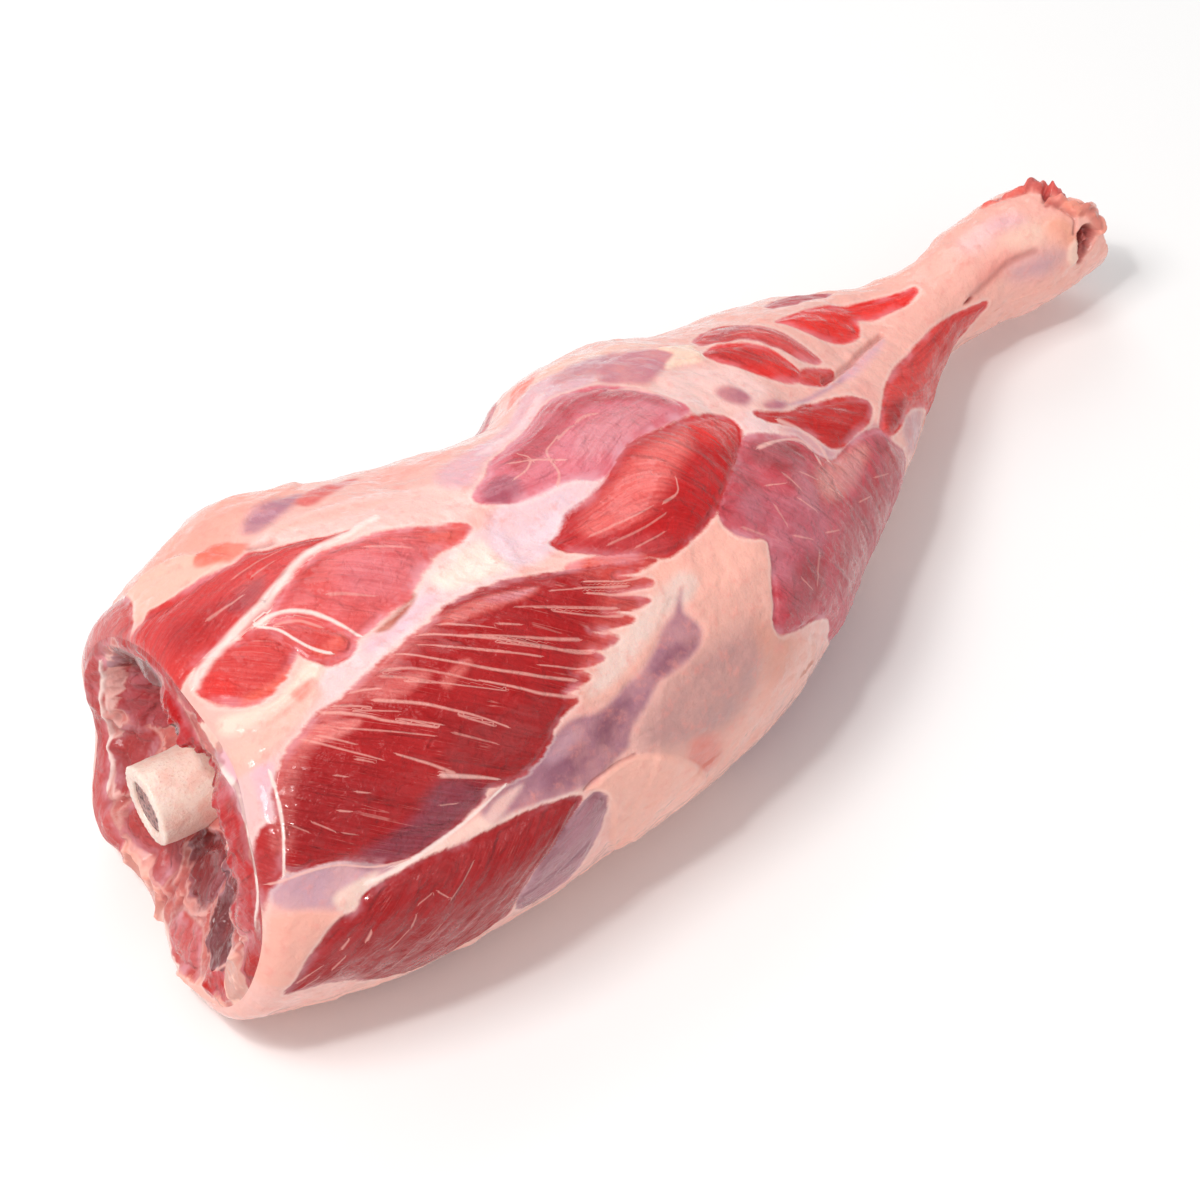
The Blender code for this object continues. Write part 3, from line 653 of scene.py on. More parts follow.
    Patch(((366, 126), (374, 124), (380, 130), (374, 140), (366, 142), (362, 134)), (250, 162, 150), 4),
    Patch(((378, 142), (386, 139), (393, 144), (396, 154), (390, 164), (380, 162), (376, 152)),
        (214, 164, 168), 4.5),
    Patch(((396, 112), (401, 118), (403, 132), (402, 146), (399, 150), (395, 136), (393, 122)),
        (250, 170, 146), 3, 0.4),
    Patch(((398, 150), (401.6, 146), (402.4, 158), (402, 170), (399, 174), (397, 162)), (250, 206, 188), 0.9,
        0.9),
    # A dark dip: darker flesh, with painted shade of the dip in its tint.
    Patch(((356.5, 146), (359, 145), (360, 148), (358, 150), (356, 149)), (166, 62, 54), 0.8, -0.9),
    Patch(((386, 52), (394, 58), (401, 66), (404, 74), (402, 80), (397, 74), (391, 66), (386, 60)),
        (232, 92, 80), 0.8, 0.8, 0, 0.9),
    Patch(((400, 70), (404, 70), (408, 76), (407, 84), (403.5, 87), (400.5, 82), (399.5, 76)), (216, 58, 54),
        0.7, 2.4, 0, 1.5),
    # A dark dip: darker flesh, with painted shade of the dip in its tint.
    Patch(((402, 87), (405, 87), (404, 93), (401.5, 94)), (146, 46, 44), 0.6, -1, 0, 1),
    Patch(((404, 86), (408, 82), (413, 84), (414, 92), (410, 97), (405.5, 96), (403.5, 91)), (226, 46, 46),
        0.7, 2.6, 0, 1.6),
    Patch(((400.5, 94), (404, 96), (408, 101), (407, 108), (403, 106), (400.5, 101)), (240, 132, 118), 0.8,
        1.4, 0, 1.5),
    Patch(((405, 106), (410, 108), (413, 118), (412, 128), (408, 130), (405, 122), (404, 112)),
        (250, 146, 122), 1, 1.2, 0, 0.8),
    Patch(((409, 120), (416, 122), (420, 140), (418, 158), (412, 160), (410.6, 144)), (252, 158, 138), 1.2, 2,
        0, 0.8),
    # A deep torn hollow: darker flesh, with painted shade of the hollow in its tint.
    Patch(((401.8, 146), (405, 140), (409, 141), (410.5, 150), (410, 160), (407, 170), (403.5, 172),
        (401.8, 162)), (140, 42, 38), 0.8, -3.2, 0, 2),
    Patch(((408, 150), (411, 152), (410, 162), (406, 172), (403, 178), (402, 172), (406, 164)),
        (214, 110, 104), 0.8, 0.6, 0, 1.6),
    # Under the leg and on its front.
    Patch(((40, 210), (110, 205), (200, 222), (210, 280), (180, 300), (90, 290), (40, 280)), (246, 186, 170),
        6, 0.5),
    Patch(((180, 262), (240, 262), (300, 276), (300, 300), (230, 296), (180, 300)), (246, 204, 196), 5, 0.3),
    Patch(((60, 346), (120, 348), (200, 330), (290, 340), (290, 360), (180, 372), (60, 372)), (250, 190, 176),
        6, 0.4),
)

STREAKS = (
    # Seams between muscles.
    Streak(((55, 85.6), (62, 84), (70, 83), (78, 82.2), (84, 81.9)), (1.5, 1.1), 1, 0.4),
    Streak(((53.6, 113), (51, 120), (47.6, 128), (44.2, 135), (41.6, 141)), (0.5, 0.35), 1, 0.3),
    Streak(((38, 142.6), (48, 143), (56, 145.4), (64, 150.4), (74, 152.6)), (0.5, 0.3), 0.9, 0.2),
    Streak(((84, 82), (88, 81.2), (93, 80.4), (99, 79.2), (106, 78.2), (113, 77.3), (119, 76.6), (128, 75)),
        (1.3, 1), 1, 0.4),
    Streak(((79, 84), (84, 84.6), (90, 87.4), (94.5, 90.6), (97, 93.8), (99, 97)), (0.6, 0.5)),
    Streak(((78.5, 84.2), (82, 87.4), (84, 91), (86, 94), (89, 96.8)), (0.5, 0.4)),
    Streak(((83, 86.6), (88, 88.6), (92, 91.6)), (0.4, 0.3), 0.7),
    Streak(((60, 153.8), (70, 153.4), (82, 151.8), (92, 150.4), (99, 148.6), (106, 146.6)), (0.7, 0.5)),
    Streak(((91, 134.5), (96, 137.5), (101, 140.6), (105, 143.6)), (0.8, 0.4), 0.9),
    Streak(((172.5, 71.5), (178.5, 74), (182.5, 76.5), (185.5, 78.5)), (0.4, 0.3), 0.8),
    Streak(((177, 69.5), (178, 73), (174.5, 75.8), (169, 77.4)), (0.35, 0.3), 0.8),
    Streak(((190, 72), (184, 73), (182, 76.5), (181, 80.5), (178, 83)), (0.35, 0.4), 0.8),
    Streak(((219, 71), (225.5, 75.6), (230, 81.5), (231, 85)), (0.7, 0.6), 0.9),
    Streak(((199, 74), (203, 75), (206, 76.6)), (0.7, 0.3), 0.7),
    Streak(((190, 72.6), (194, 73.2), (197, 74)), (0.5, 0.3), 0.7),
    Streak(((257, 104), (260.6, 109.8), (262, 114.6), (262.6, 120), (261, 128)), (0.8, 0.6), 0.9),
    Streak(((241, 108), (250, 109.6), (256, 112.6), (258.6, 118), (256.6, 125)), (0.7, 0.5), 0.9),
    # Pale fibres of the big muscle.
    Streak(((88, 111.6), (97, 117.4), (103.5, 122.4), (108.5, 126.5), (114, 132)), (0.5, 0.3), 0.8),
    Streak(((111, 103.6), (119, 108.3), (127, 113), (136.5, 119), (143, 123.4), (148, 126)), (0.4, 0.5), 0.8),
    Streak(((102, 105.4), (107, 109.4), (113, 113.6), (120, 118.4), (131, 125.6), (139, 130.4)), (0.35, 0.5),
        0.8),
    Streak(((114.5, 119), (121.5, 124), (128, 129.3), (136, 134)), (0.3, 0.6), 0.85),
    Streak(((75, 106.8), (83, 113.2), (87, 117), (97, 124)), (0.6, 0.3), 0.8),
    Streak(((96, 107), (103, 110.8), (114, 119)), (0.6, 0.3), 0.6),
    Streak(((66, 110.2), (72, 116.8), (79.5, 124)), (0.5, 0.2), 0.7),
    Streak(((83.5, 124.5), (89.5, 130.3), (94, 135.4)), (0.3, 0.6), 0.8),
    Streak(((104, 124), (110.5, 130)), (0.4, 0.3), 0.7),
    Streak(((100, 127), (109, 134.5)), (0.35, 0.2), 0.5),
    Streak(((117, 103.6), (123, 107), (128, 110)), (0.4, 0.2), 0.7),
    Streak(((121, 109), (129, 113), (138.5, 117.6), (147, 121.4)), (0.3, 0.6), 0.7),
    Streak(((130, 109.6), (135, 112)), (0.4, 0.3), 0.7),
    Streak(((94, 108), (105, 115.6)), (0.5, 0.2), 0.5),
    Streak(((90, 118), (98.5, 124)), (0.4, 0.2), 0.7),
    Streak(((146, 112.4), (155, 117.6), (163, 121)), (0.25, 0.6), 0.7),
    Streak(((158, 112), (166, 115.6), (173, 118.6)), (0.3, 0.6), 0.85),
    Streak(((160, 109), (169, 112.6), (177, 114.6)), (0.25, 0.45), 0.8),
    Streak(((138, 107.6), (150, 112.6), (160, 117)), (0.3, 0.2), 0.5),
    Streak(((79, 107.2), (86, 112.4)), (0.5, 0.2), 0.7),
    Streak(((108, 106), (118, 111.4), (127, 116.6)), (0.3, 0.2), 0.7),
    Streak(((112, 108.4), (123, 114.6), (134, 121)), (0.3, 0.3), 0.7),
    Streak(((98, 112), (108, 117.4), (119, 124)), (0.3, 0.2), 0.7),
    Streak(((126, 113.6), (138, 120.4), (149, 125.6)), (0.25, 0.4), 0.7),
    Streak(((76, 113), (86, 119.4), (95, 125.4)), (0.3, 0.2), 0.6),
    Streak(((82, 111), (91, 116.4)), (0.3, 0.2), 0.6),
    Streak(((150, 107.4), (161, 111.4), (170, 114.6)), (0.25, 0.4), 0.7),
    Streak(((142, 109.6), (153, 114.4), (163, 118.6)), (0.25, 0.4), 0.7),
    Streak(((132, 122.6), (140, 127), (146, 130.4)), (0.25, 0.4), 0.7),
    Streak(((85, 106.8), (91, 110)), (0.5, 0.2), 0.7),
    Streak(((70, 111.8), (76, 117.6)), (0.45, 0.2), 0.6),
    Streak(((69, 128), (71.5, 129.6)), (0.35, 0.2), 0.7),
    Streak(((62.4, 130.4), (65, 132)), (0.35, 0.2), 0.7),
    Streak(((55, 130.2), (58.6, 135)), (0.35, 0.2), 0.6),
    Streak(((60.4, 136.4), (63, 138.2)), (0.3, 0.2), 0.6),
    Streak(((67, 122), (69, 123.6)), (0.35, 0.2), 0.6),
    Streak(((74, 121), (77, 123.4)), (0.35, 0.2), 0.6),
    Streak(((50, 128.6), (52.6, 132)), (0.3, 0.2), 0.5),
    Streak(((87, 141.4), (91.4, 143.4)), (0.35, 0.2), 0.7),
    # Pale flecks of the knee.
    Streak(((246, 122), (250, 128)), (0.3, 0.2), 0.7),
    Streak(((238, 127), (241, 134)), (0.3, 0.2), 0.7),
    Streak(((228, 134), (233, 139)), (0.35, 0.2), 0.6),
    Streak(((252, 133), (256, 141)), (0.3, 0.2), 0.7),
    Streak(((262, 150), (268, 154)), (0.35, 0.2), 0.7),
    Streak(((240, 142), (246, 146.6)), (0.3, 0.2), 0.7),
    Streak(((274, 150), (281, 156)), (0.35, 0.2), 0.6),
    Streak(((232, 118), (238, 121)), (0.3, 0.2), 0.7),
    Streak(((222, 146), (224, 152)), (0.3, 0.2), 0.6),
    # Pale flecks of the lower muscle.
    Streak(((79, 167.4), (88, 160.6)), (0.25, 0.25), 0.6),
    Streak(((76, 163.6), (78, 166.4)), (0.3, 0.2), 0.7),
    Streak(((74, 163.4), (70, 164.8)), (0.3, 0.2), 0.6),
    Streak(((35.6, 181.6), (42, 176.6)), (0.3, 0.2), 0.7),
    Streak(((36.6, 184.4), (41, 181)), (0.3, 0.2), 0.7),
    Streak(((45, 178.6), (48.4, 175)), (0.3, 0.2), 0.7),
    Streak(((48, 171), (50, 168.6)), (0.5, 0.3), 0.7),
    Streak(((54.6, 170.6), (56, 168.4)), (0.6, 0.4), 0.8),
    Streak(((60.6, 178), (66, 172.6)), (0.3, 0.2), 0.6),
    Streak(((67, 171.4), (68.6, 168)), (0.35, 0.2), 0.6),
    Streak(((62, 187), (66, 182)), (0.3, 0.2), 0.5),
    Streak(((72, 179), (75, 175.4)), (0.3, 0.2), 0.5),
    # Pale lines of the other muscles.
    Streak(((70, 76.5), (76, 77), (82, 77.4)), (0.5, 0.2), 0.6),
    Streak(((84, 72), (92, 72.6), (100, 73.6)), (0.4, 0.2), 0.5),
    Streak(((88, 75), (96, 75.4)), (0.3, 0.2), 0.5),
    Streak(((100, 88.4), (110, 91.6)), (0.4, 0.2), 0.5),
    Streak(((118, 82.6), (128, 86)), (0.4, 0.2), 0.5),
    Streak(((196, 103), (202, 103.6), (205, 101)), (0.35, 0.2), 0.7),
    Streak(((172, 99), (182, 100), (192, 101.6)), (0.4, 0.2), 0.5),
    Streak(((174, 103), (184, 104), (194, 105)), (0.35, 0.2), 0.5),
    Streak(((180, 107), (190, 108)), (0.35, 0.2), 0.5),
    Streak(((214, 121.6), (219, 127)), (0.5, 0.3), 0.5),
    Streak(((229, 124), (228, 130)), (0.5, 0.3), 0.5),
    Streak(((233, 144.6), (227, 152.6)), (0.6, 0.3), 0.5),
    Streak(((240, 119), (241, 125)), (0.4, 0.3), 0.6),
    Streak(((270, 66.5), (276, 71), (282, 77)), (0.3, 0.2), 0.4),
    Streak(((300, 79), (307, 82)), (0.3, 0.2), 0.4),
)

# Grooves: a path, a width and a depth. Each is sunk, and painted shade darkens it.
GROOVES = (
    (((286, 102.8), (290, 103.8), (297.5, 104.8), (304, 104.8), (311.5, 103.4), (321, 102.2)), 0.9, 1.1),
    (((95, 66.8), (98, 68), (101, 69)), 0.8, 0.9),
    (((359.5, 145), (366.5, 142), (371, 139.5), (375.5, 136.5), (380, 134.5), (386, 134)), 1.6, 0.5),
    (((404, 84), (403, 88), (400.6, 94)), 0.7, 1.6),
    (((400, 98), (403, 106), (404, 116), (405, 128), (402, 140)), 0.7, 0.9),
    (((410, 96), (411, 110), (412, 122)), 0.8, 1.2),
    (((127, 160), (136, 158.6), (146, 159.6)), 0.5, 0.4),
)


def linear(tint):
    """An sRGB colour, 0 to 255, as linear numbers."""
    value = np.array(tint, float) / 255
    return np.where(value <= 0.04045, value / 12.92, ((value + 0.055) / 1.055) ** 2.4)


# Points that a smooth line gets for each of its own.
LINE_STEPS = 4

# How far from a muscle's outline the surface knows it, how far inside it covers any other muscle,
# and over what length its dome rises.
REACH = 14.0
COVERING = 0.3
DOME_EDGE = 4.5

# Lines of white tissue: how far round them the surface knows them, and their ridges' least width.
STREAK_REACH = 5.0
LEAST_RIDGE = 0.6

# Sizes of the surface's small forms, in millimetres.
LUMP_SIZE = 9
BUNDLE_LENGTH = 24
BUNDLE_WIDTH = 2.4
FINE_SIZE = 2.6
BORDER_WIDTH = 1.1
TEAR_SIZE = 3.4

FLESH_TINT = (180, 60, 60)


def rounded(points, closed):
    """Runs a smooth line through points."""
    ends = (points[-1:], points, points[:2]) if closed else (points[:1], points, points[-1:])
    padded = np.vstack(ends)
    a, b, c, d = padded[:-3], padded[1:-2], padded[2:-1], padded[3:]
    t = (np.arange(LINE_STEPS) / LINE_STEPS)[:, None, None]
    curve = b + ((c - a) * t + (2 * a - 5 * b + 4 * c - d) * t**2 + (3 * b - a - 3 * c + d) * t**3) / 2
    line = np.moveaxis(curve, 0, 1).reshape(-1, 2)
    return line if closed else np.vstack((line, points[-1:]))


def measured(place, points, closed):
    """How far each place is from a line, on which side, how far along it, and whether it is inside it."""
    nearest = np.full(place.shape[:-1], 1e9)
    side = np.ones(place.shape[:-1])
    along = np.zeros(place.shape[:-1])
    inside = np.zeros(place.shape[:-1], bool)
    ends = np.roll(points, -1, 0)
    count = len(points) if closed else len(points) - 1
    for index in range(count):
        start = points[index]
        run = ends[index] - start
        offset_u = place[..., 0] - start[0]
        offset_v = place[..., 1] - start[1]
        t = np.clip((offset_u * run[0] + offset_v * run[1]) / max(run @ run, 1e-9), 0, 1)
        distance = np.hypot(offset_u - t * run[0], offset_v - t * run[1])
        nearer = distance < nearest
        nearest = np.where(nearer, distance, nearest)
        left = offset_u * run[1] < offset_v * run[0]
        if closed:
            right = offset_v * run[0] < offset_u * run[1]
            spans = (offset_v < 0) != (offset_v < run[1])
            inside ^= spans & (right if run[1] < 0 else left)
        else:
            side = np.where(nearer, np.where(left, -1.0, 1.0), side)
            along = np.where(nearer, (index + t) / count, along)
    return nearest, side, along, inside


class Canvas:
    """What a surface looks like at each place of a grid whose places have two coordinates, u and v."""

    def __init__(self, u, v, ground):
        self.shape = u.shape
        self.u = u
        self.v = v
        self.flesh = np.full(self.shape, -REACH)
        self.flesh_tint = np.zeros(self.shape + (3,)) + linear(FLESH_TINT)
        self.cover_tint = ground
        self.film = np.zeros(self.shape)
        self.streaks = np.zeros(self.shape)
        self.height = np.zeros(self.shape)
        self.along = u.copy()
        self.across = v.copy()
        self.line = np.full(self.shape, REACH)
        self.line_gap = np.full(self.shape, REACH)
        self.line_width = np.full(self.shape, 0.3)
        self.line_strength = np.zeros(self.shape)
        # Painted shade: how far each place is darkened as the inside of a crease or hollow.
        self.crease_shade = np.zeros(self.shape)

    def laid_flat(self, points):
        """Points, and all places of the grid, laid flat in millimetres."""
        return points, np.stack((self.u, self.v), -1)

    def near(self, points, reach):
        """The line through points, and the places near it: which they are and where they lie."""
        flat, place = self.laid_flat(np.array(points, float))
        near = ((place > flat.min(0) - reach) & (place < flat.max(0) + reach)).all(-1)
        return flat, near, place[near]

    def depth(self, outline, reach=6.0):
        """The places near an outline: which they are, where they lie, and how deep inside it they are.

        Outside it the depth is negative.
        """
        flat, near, place = self.near(outline, reach)
        distance, _, _, inside = measured(place, rounded(flat, True), True)
        return near, place, np.where(inside, distance, -distance)

    def add_muscle(self, muscle):
        near, place, depth = self.depth(muscle.outline, REACH)
        won = (depth > COVERING) | (depth > self.flesh[near])
        self.flesh[near] = np.minimum(self.flesh[near], np.maximum(-depth, 0.0))
        which = np.zeros(self.shape, bool)
        which[near] = won
        self.flesh[which] = depth[won]
        self.flesh_tint[which] = linear(muscle.tint)
        self.film[which] = muscle.film
        self.streaks[which] = muscle.streaks
        self.height[near] += muscle.dome * (1 - np.exp(-np.clip(depth, 0, None) / DOME_EDGE))
        self.lay_fibres(muscle, place, won, which)

    def lay_fibres(self, muscle, place, won, which):
        """Gives the places that a muscle won their distances along and across its fibres."""
        low = place.min(0) + REACH
        high = place.max(0) - REACH
        middle = (low + high) / 2
        offset = place[won] - middle
        share = ease(low[0] - middle[0], high[0] - middle[0], offset[:, 0])
        turn = np.radians(muscle.fibres[0] + (muscle.fibres[1] - muscle.fibres[0]) * share)
        self.along[which] = offset[:, 0] * np.cos(turn) + offset[:, 1] * np.sin(turn) + middle[0]
        self.across[which] = offset[:, 1] * np.cos(turn) - offset[:, 0] * np.sin(turn) + middle[1] * 3

    def add_patch(self, patch):
        near, place, depth = self.depth(patch.outline, patch.softness + 2)
        share = ease(-patch.softness, patch.softness, depth)
        tint = linear(patch.tint)
        if patch.over:
            self.flesh_tint[near] += (tint - self.flesh_tint[near]) * (share * patch.over)[:, None]
            self.height[near] += patch.height * share
        else:
            self.cover_tint[near] += (tint - self.cover_tint[near]) * share[:, None]
            bare = ease(2.0, -1.0, self.flesh[near])
            self.height[near] += patch.height * ease(-0.6, 1.6, depth) * bare
        if patch.ragged:
            torn = rough_grain(place[:, 0] / TEAR_SIZE, place[:, 1] / TEAR_SIZE, 1.0, seed=71, layers=2)
            self.height[near] += patch.ragged * torn * share
            # Painted shade in the low places of the torn flesh.
            self.crease_shade[near] = np.maximum(self.crease_shade[near], ease(-0.2, -0.7, torn) * share)

    def add_streak(self, streak):
        flat, near, place = self.near(streak.path, STREAK_REACH)
        distance, side, along, _ = measured(place, rounded(flat, False), False)
        width = streak.widths[0] + (streak.widths[1] - streak.widths[0]) * along
        won = distance - width < self.line_gap[near]
        which = np.zeros(self.shape, bool)
        which[near] = won
        self.line_gap[which] = (distance - width)[won]
        self.line[which] = (distance * side)[won]
        self.line_width[which] = width[won]
        self.line_strength[which] = streak.strength
        self.height[near] += streak.height * np.exp(-((distance / np.maximum(width, LEAST_RIDGE)) ** 2))

    def add_groove(self, path, width, deep):
        flat, near, place = self.near(path, 3 * width)
        distance, _, _, _ = measured(place, rounded(flat, False), False)
        share = np.exp(-((distance / width) ** 2))
        self.height[near] -= deep * share
        # Painted shade along the groove's sunken line.
        self.crease_shade[near] = np.maximum(self.crease_shade[near], share)

    def paint(self, muscles, patches, streaks, grooves):
        for muscle in muscles:
            self.add_muscle(muscle)
        for patch in patches:
            self.add_patch(patch)
        for streak in streaks:
            self.add_streak(streak)
        for path, width, deep in grooves:
            self.add_groove(path, width, deep)

    def roughen(self):
        """Adds the small unevenness of flesh and fat: fibre bundles on flesh, lumps on fat."""
        flat = self.laid_flat(np.zeros((1, 2)))[1]
        u, v = flat[..., 0], flat[..., 1]
        bare = ease(-0.8, 0.8, self.flesh)
        lumps = rough_grain(u / LUMP_SIZE, v / LUMP_SIZE, 3.0, seed=11)
        bundles = rough_grain(self.along / BUNDLE_LENGTH, self.across / BUNDLE_WIDTH, 4.0, seed=21, layers=2)
        fine = rough_grain(u / FINE_SIZE, v / FINE_SIZE, 9.0, seed=15, layers=2)
        edge = np.exp(-((self.flesh / BORDER_WIDTH) ** 2))
        self.height += 0.4 * lumps * (1 - bare) + 0.1 * fine + 0.2 * bundles * bare - 0.2 * edge

    def keep(self, mesh, place):
        """Gives a mesh what its material reads at each vertex. Place picks the vertices' grid places."""
        numbers = ("flesh", "film", "streaks", "crease_shade", "line", "line_gap", "line_width", "line_strength")
        for name in numbers:
            give(mesh, name, "FLOAT", getattr(self, name)[place])
        for name in ("flesh_tint", "cover_tint"):
            give(mesh, name, "FLOAT_COLOR", np.insert(getattr(self, name)[place], 3, 1, axis=1))
        fibre = np.stack((self.along, self.across, np.zeros(self.shape)), -1)
        give(mesh, "fibre", "FLOAT_VECTOR", fibre[place])


class SideCanvas(Canvas):
    """The side of the leg: u is s, and v is the angle. Outlines give the angle in degrees."""

    def __init__(self, s, angle):
        toward_hock = ease(250, 345, s)[..., None]
        ground = linear(THIGH_TINT) * (1 - toward_hock) + linear(SHANK_TINT) * toward_hock
        super().__init__(s, angle, ground)
        self.radius = mean_radius(s)
        self.paint(MUSCLES.values(), PATCHES, STREAKS, GROOVES)
        self.roughen()

    def laid_flat(self, points):
        middle = points[:, 1].mean()
        flat = np.stack((points[:, 0], np.radians(points[:, 1] - middle) * mean_radius(points[:, 0])), -1)
        across = turn_between(self.v, math.radians(middle)) * self.radius
        return flat, np.stack((self.u, across), -1)


# ---------------- meshes

# In metres: how close vertices are merged, and how far points stay inside the solid's box.
MERGE_DISTANCE = 0.00002
BOX_MARGIN = 0.00002


def grid_mesh(name, rows, columns):
    """A plain grid of faces, and the row and column of each of its vertices."""
    bm = bmesh.new()
    bmesh.ops.create_grid(bm, x_segments=columns - 1, y_segments=rows - 1, size=1.0)
    mesh = bpy.data.meshes.new(name)
    bm.to_mesh(mesh)
    bm.free()
    flat = np.empty(len(mesh.vertices) * 3)
    mesh.vertices.foreach_get("co", flat)
    flat = flat.reshape(-1, 3)
    column = np.rint((flat[:, 0] + 1) / 2 * (columns - 1)).astype(int)
    row = np.rint((flat[:, 1] + 1) / 2 * (rows - 1)).astype(int)
    return mesh, row, column


def give(mesh, name, kind, values):
    """Keeps a value of some kind for each vertex of a mesh, under a name."""
    field = {"FLOAT": "value", "FLOAT_COLOR": "color", "FLOAT_VECTOR": "vector"}[kind]
    data = mesh.attributes.new(name, kind, "POINT").data
    data.foreach_set(field, values.astype(np.float32).ravel())


def use_normals(mesh, name):
    """Shades a mesh by the normals it keeps under a name, so that pieces meet without a line."""
    normals = np.empty(len(mesh.vertices) * 3, np.float32)
    mesh.attributes[name].data.foreach_get("vector", normals)
    mesh.attributes.remove(mesh.attributes[name])
    mesh.normals_split_custom_set_from_vertices(normals.reshape(-1, 3).tolist())


def weld(mesh):
    """Closes a mesh's seams and poles."""
    bm = bmesh.new()
    bm.from_mesh(mesh)
    bmesh.ops.remove_doubles(bm, verts=bm.verts, dist=MERGE_DISTANCE)
    bm.to_mesh(mesh)
    bm.free()


def add_piece(name, mesh, material, node):
    """Puts a finished mesh in the scene as a piece that stands for a solid."""
    mesh.materials.append(material)
    mesh.shade_smooth()
    piece = bpy.data.objects.new(name, mesh)
    bpy.context.scene.collection.objects.link(piece)
    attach(piece, "root")
    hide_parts(node)
    return piece


def grid_normals(points, wraps):
    """The outward normals of a grid of points, rows along the leg and columns round it."""
    down = np.gradient(points, axis=0)
    if wraps:
        around = (np.roll(points, -1, 1) - np.roll(points, 1, 1)) / 2
    else:
        around = np.gradient(points, axis=1)
    normal = np.cross(around, down)
    return normal / np.maximum(np.linalg.norm(normal, axis=-1, keepdims=True), 1e-12)


def kept_in_box(points):
    """Keeps points within the solid's box."""
    low = np.array(CAD_BOX[0]) + BOX_MARGIN
    high = np.array(CAD_BOX[1]) - BOX_MARGIN
    low[2] = 0.0
    return np.clip(points, low, high)


def column_angles(sizes):
    """The angles of the skin's columns: close together over the top and back, wider underneath."""
    shown = np.radians(np.linspace(FINE_FROM, FINE_TO, sizes.columns_shown, endpoint=False))
    hidden = np.radians(np.linspace(FINE_TO, FINE_FROM + 360, sizes.columns_hidden, endpoint=False))
    return np.concatenate((shown, hidden))


def lip_inset(angle):
    """How far the lip rolls inward: tight along the leg's top, rounder elsewhere."""
    away = turn_between(angle, math.radians(LIP_TIGHT_ANGLE)) / LIP_TIGHT_WIDTH
    return SKIN_INSET + LIP_RADIUS * (LIP_ROUND - LIP_TIGHTER_BY * np.exp(-(away**2)))


class SkinGrid:
    """The side of the leg from the lip of the cut to the end of the hock, as one fine grid."""

    def __init__(self, sizes):
        self.angle = column_angles(sizes)
        parts = (
            self.lip(np.linspace(0, 1, LIP_ROWS, endpoint=False)),
            self.side(np.linspace(0, 1, sizes.rows)),
            self.hock_end(np.linspace(0, 1, HOCK_ROWS + 1)[1:]),
        )
        s, y, z = (np.concatenate([part[axis] for part in parts]) for axis in range(3))
        self.look = SideCanvas(s, np.broadcast_to(self.angle, s.shape).copy())
        fade = np.ones(len(s))
        fade[:LIP_ROWS] = np.linspace(0, 1, LIP_ROWS)
        fade[-HOCK_ROWS // 2 :] = np.linspace(1, 0, HOCK_ROWS // 2)
        base = to_frame(s, y, z)
        lift = self.look.height * fade[:, None] * sizes.relief
        self.points = kept_in_box(base + grid_normals(base, True) * lift[..., None] * MM)
        self.points[-1] = self.points[-1].mean(0)
        self.normals = grid_normals(self.points, True)
        self.normals[-1] = (1.0, 0.0, 0.0)

    def lip(self, shares):
        rows = []
        for share in shares:
            turn = share * math.pi / 2
            inset = (lip_inset(self.angle) - SKIN_INSET) * (1 - math.sin(turn)) + SKIN_INSET
            rows.append(rim(self.angle, LIP_RADIUS * (1 - math.cos(turn)), inset))
        return [np.array([row[axis] for row in rows]) for axis in range(3)]

    def side(self, shares):
        start, _, _ = rim(self.angle, LIP_RADIUS)
        s = start + (hock_length(self.angle) - start) * shares[:, None]
        y, z = section(s, self.angle[None, :], SKIN_INSET)
        return s, y, z

    def hock_end(self, shares):
        edge_s = hock_length(self.angle)
        edge_y, edge_z = section(edge_s, self.angle, SKIN_INSET)
        turn = shares[:, None] * math.pi / 2
        keep = np.cos(turn) ** HOCK_FLATNESS
        lump = LOBE_HEIGHT * np.sin(2 * turn) * np.cos(HOCK_LOBES * self.angle)
        across = keep * np.cos(self.angle) * 3
        up = keep * np.sin(self.angle) * 3
        lump = lump + HOCK_ROUGHNESS * rough_grain(across, up, 1.0, seed=31)
        middle_s = HOCK_S - HOCK_RADIUS
        s = middle_s + (edge_s - middle_s) * keep + HOCK_RADIUS * np.sin(turn) + lump * np.sin(turn)
        return s, HOCK_Y + (edge_y - HOCK_Y) * keep, HOCK_Z + (edge_z - HOCK_Z) * keep

    def piece_mesh(self, name, first, last):
        """The mesh of the rows from first to last, closed round the leg."""
        columns = len(self.angle)
        mesh, row, column = grid_mesh(name, last - first + 1, columns + 1)
        place = (row + first, column % columns)
        mesh.vertices.foreach_set("co", self.points[place].astype(np.float32).ravel())
        self.look.keep(mesh, place)
        give(mesh, "outward", "FLOAT_VECTOR", self.normals[place])
        weld(mesh)
        use_normals(mesh, "outward")
        return mesh


# ---------------- the cut face


CUT_TINT = (196, 94, 88)

# Below 1, the rings of the cut face lie closer together toward the lip.
RING_SPREAD = 0.8

# The torn flesh of the cut face, in millimetres.
CLUMP_SIZE = 6
CLUMP_HEIGHT = 1.9
CLUMP_FRAYING = 1.6
WANDER_SIZE = 14
WANDER = 4
BLOTCH_SIZE = 7
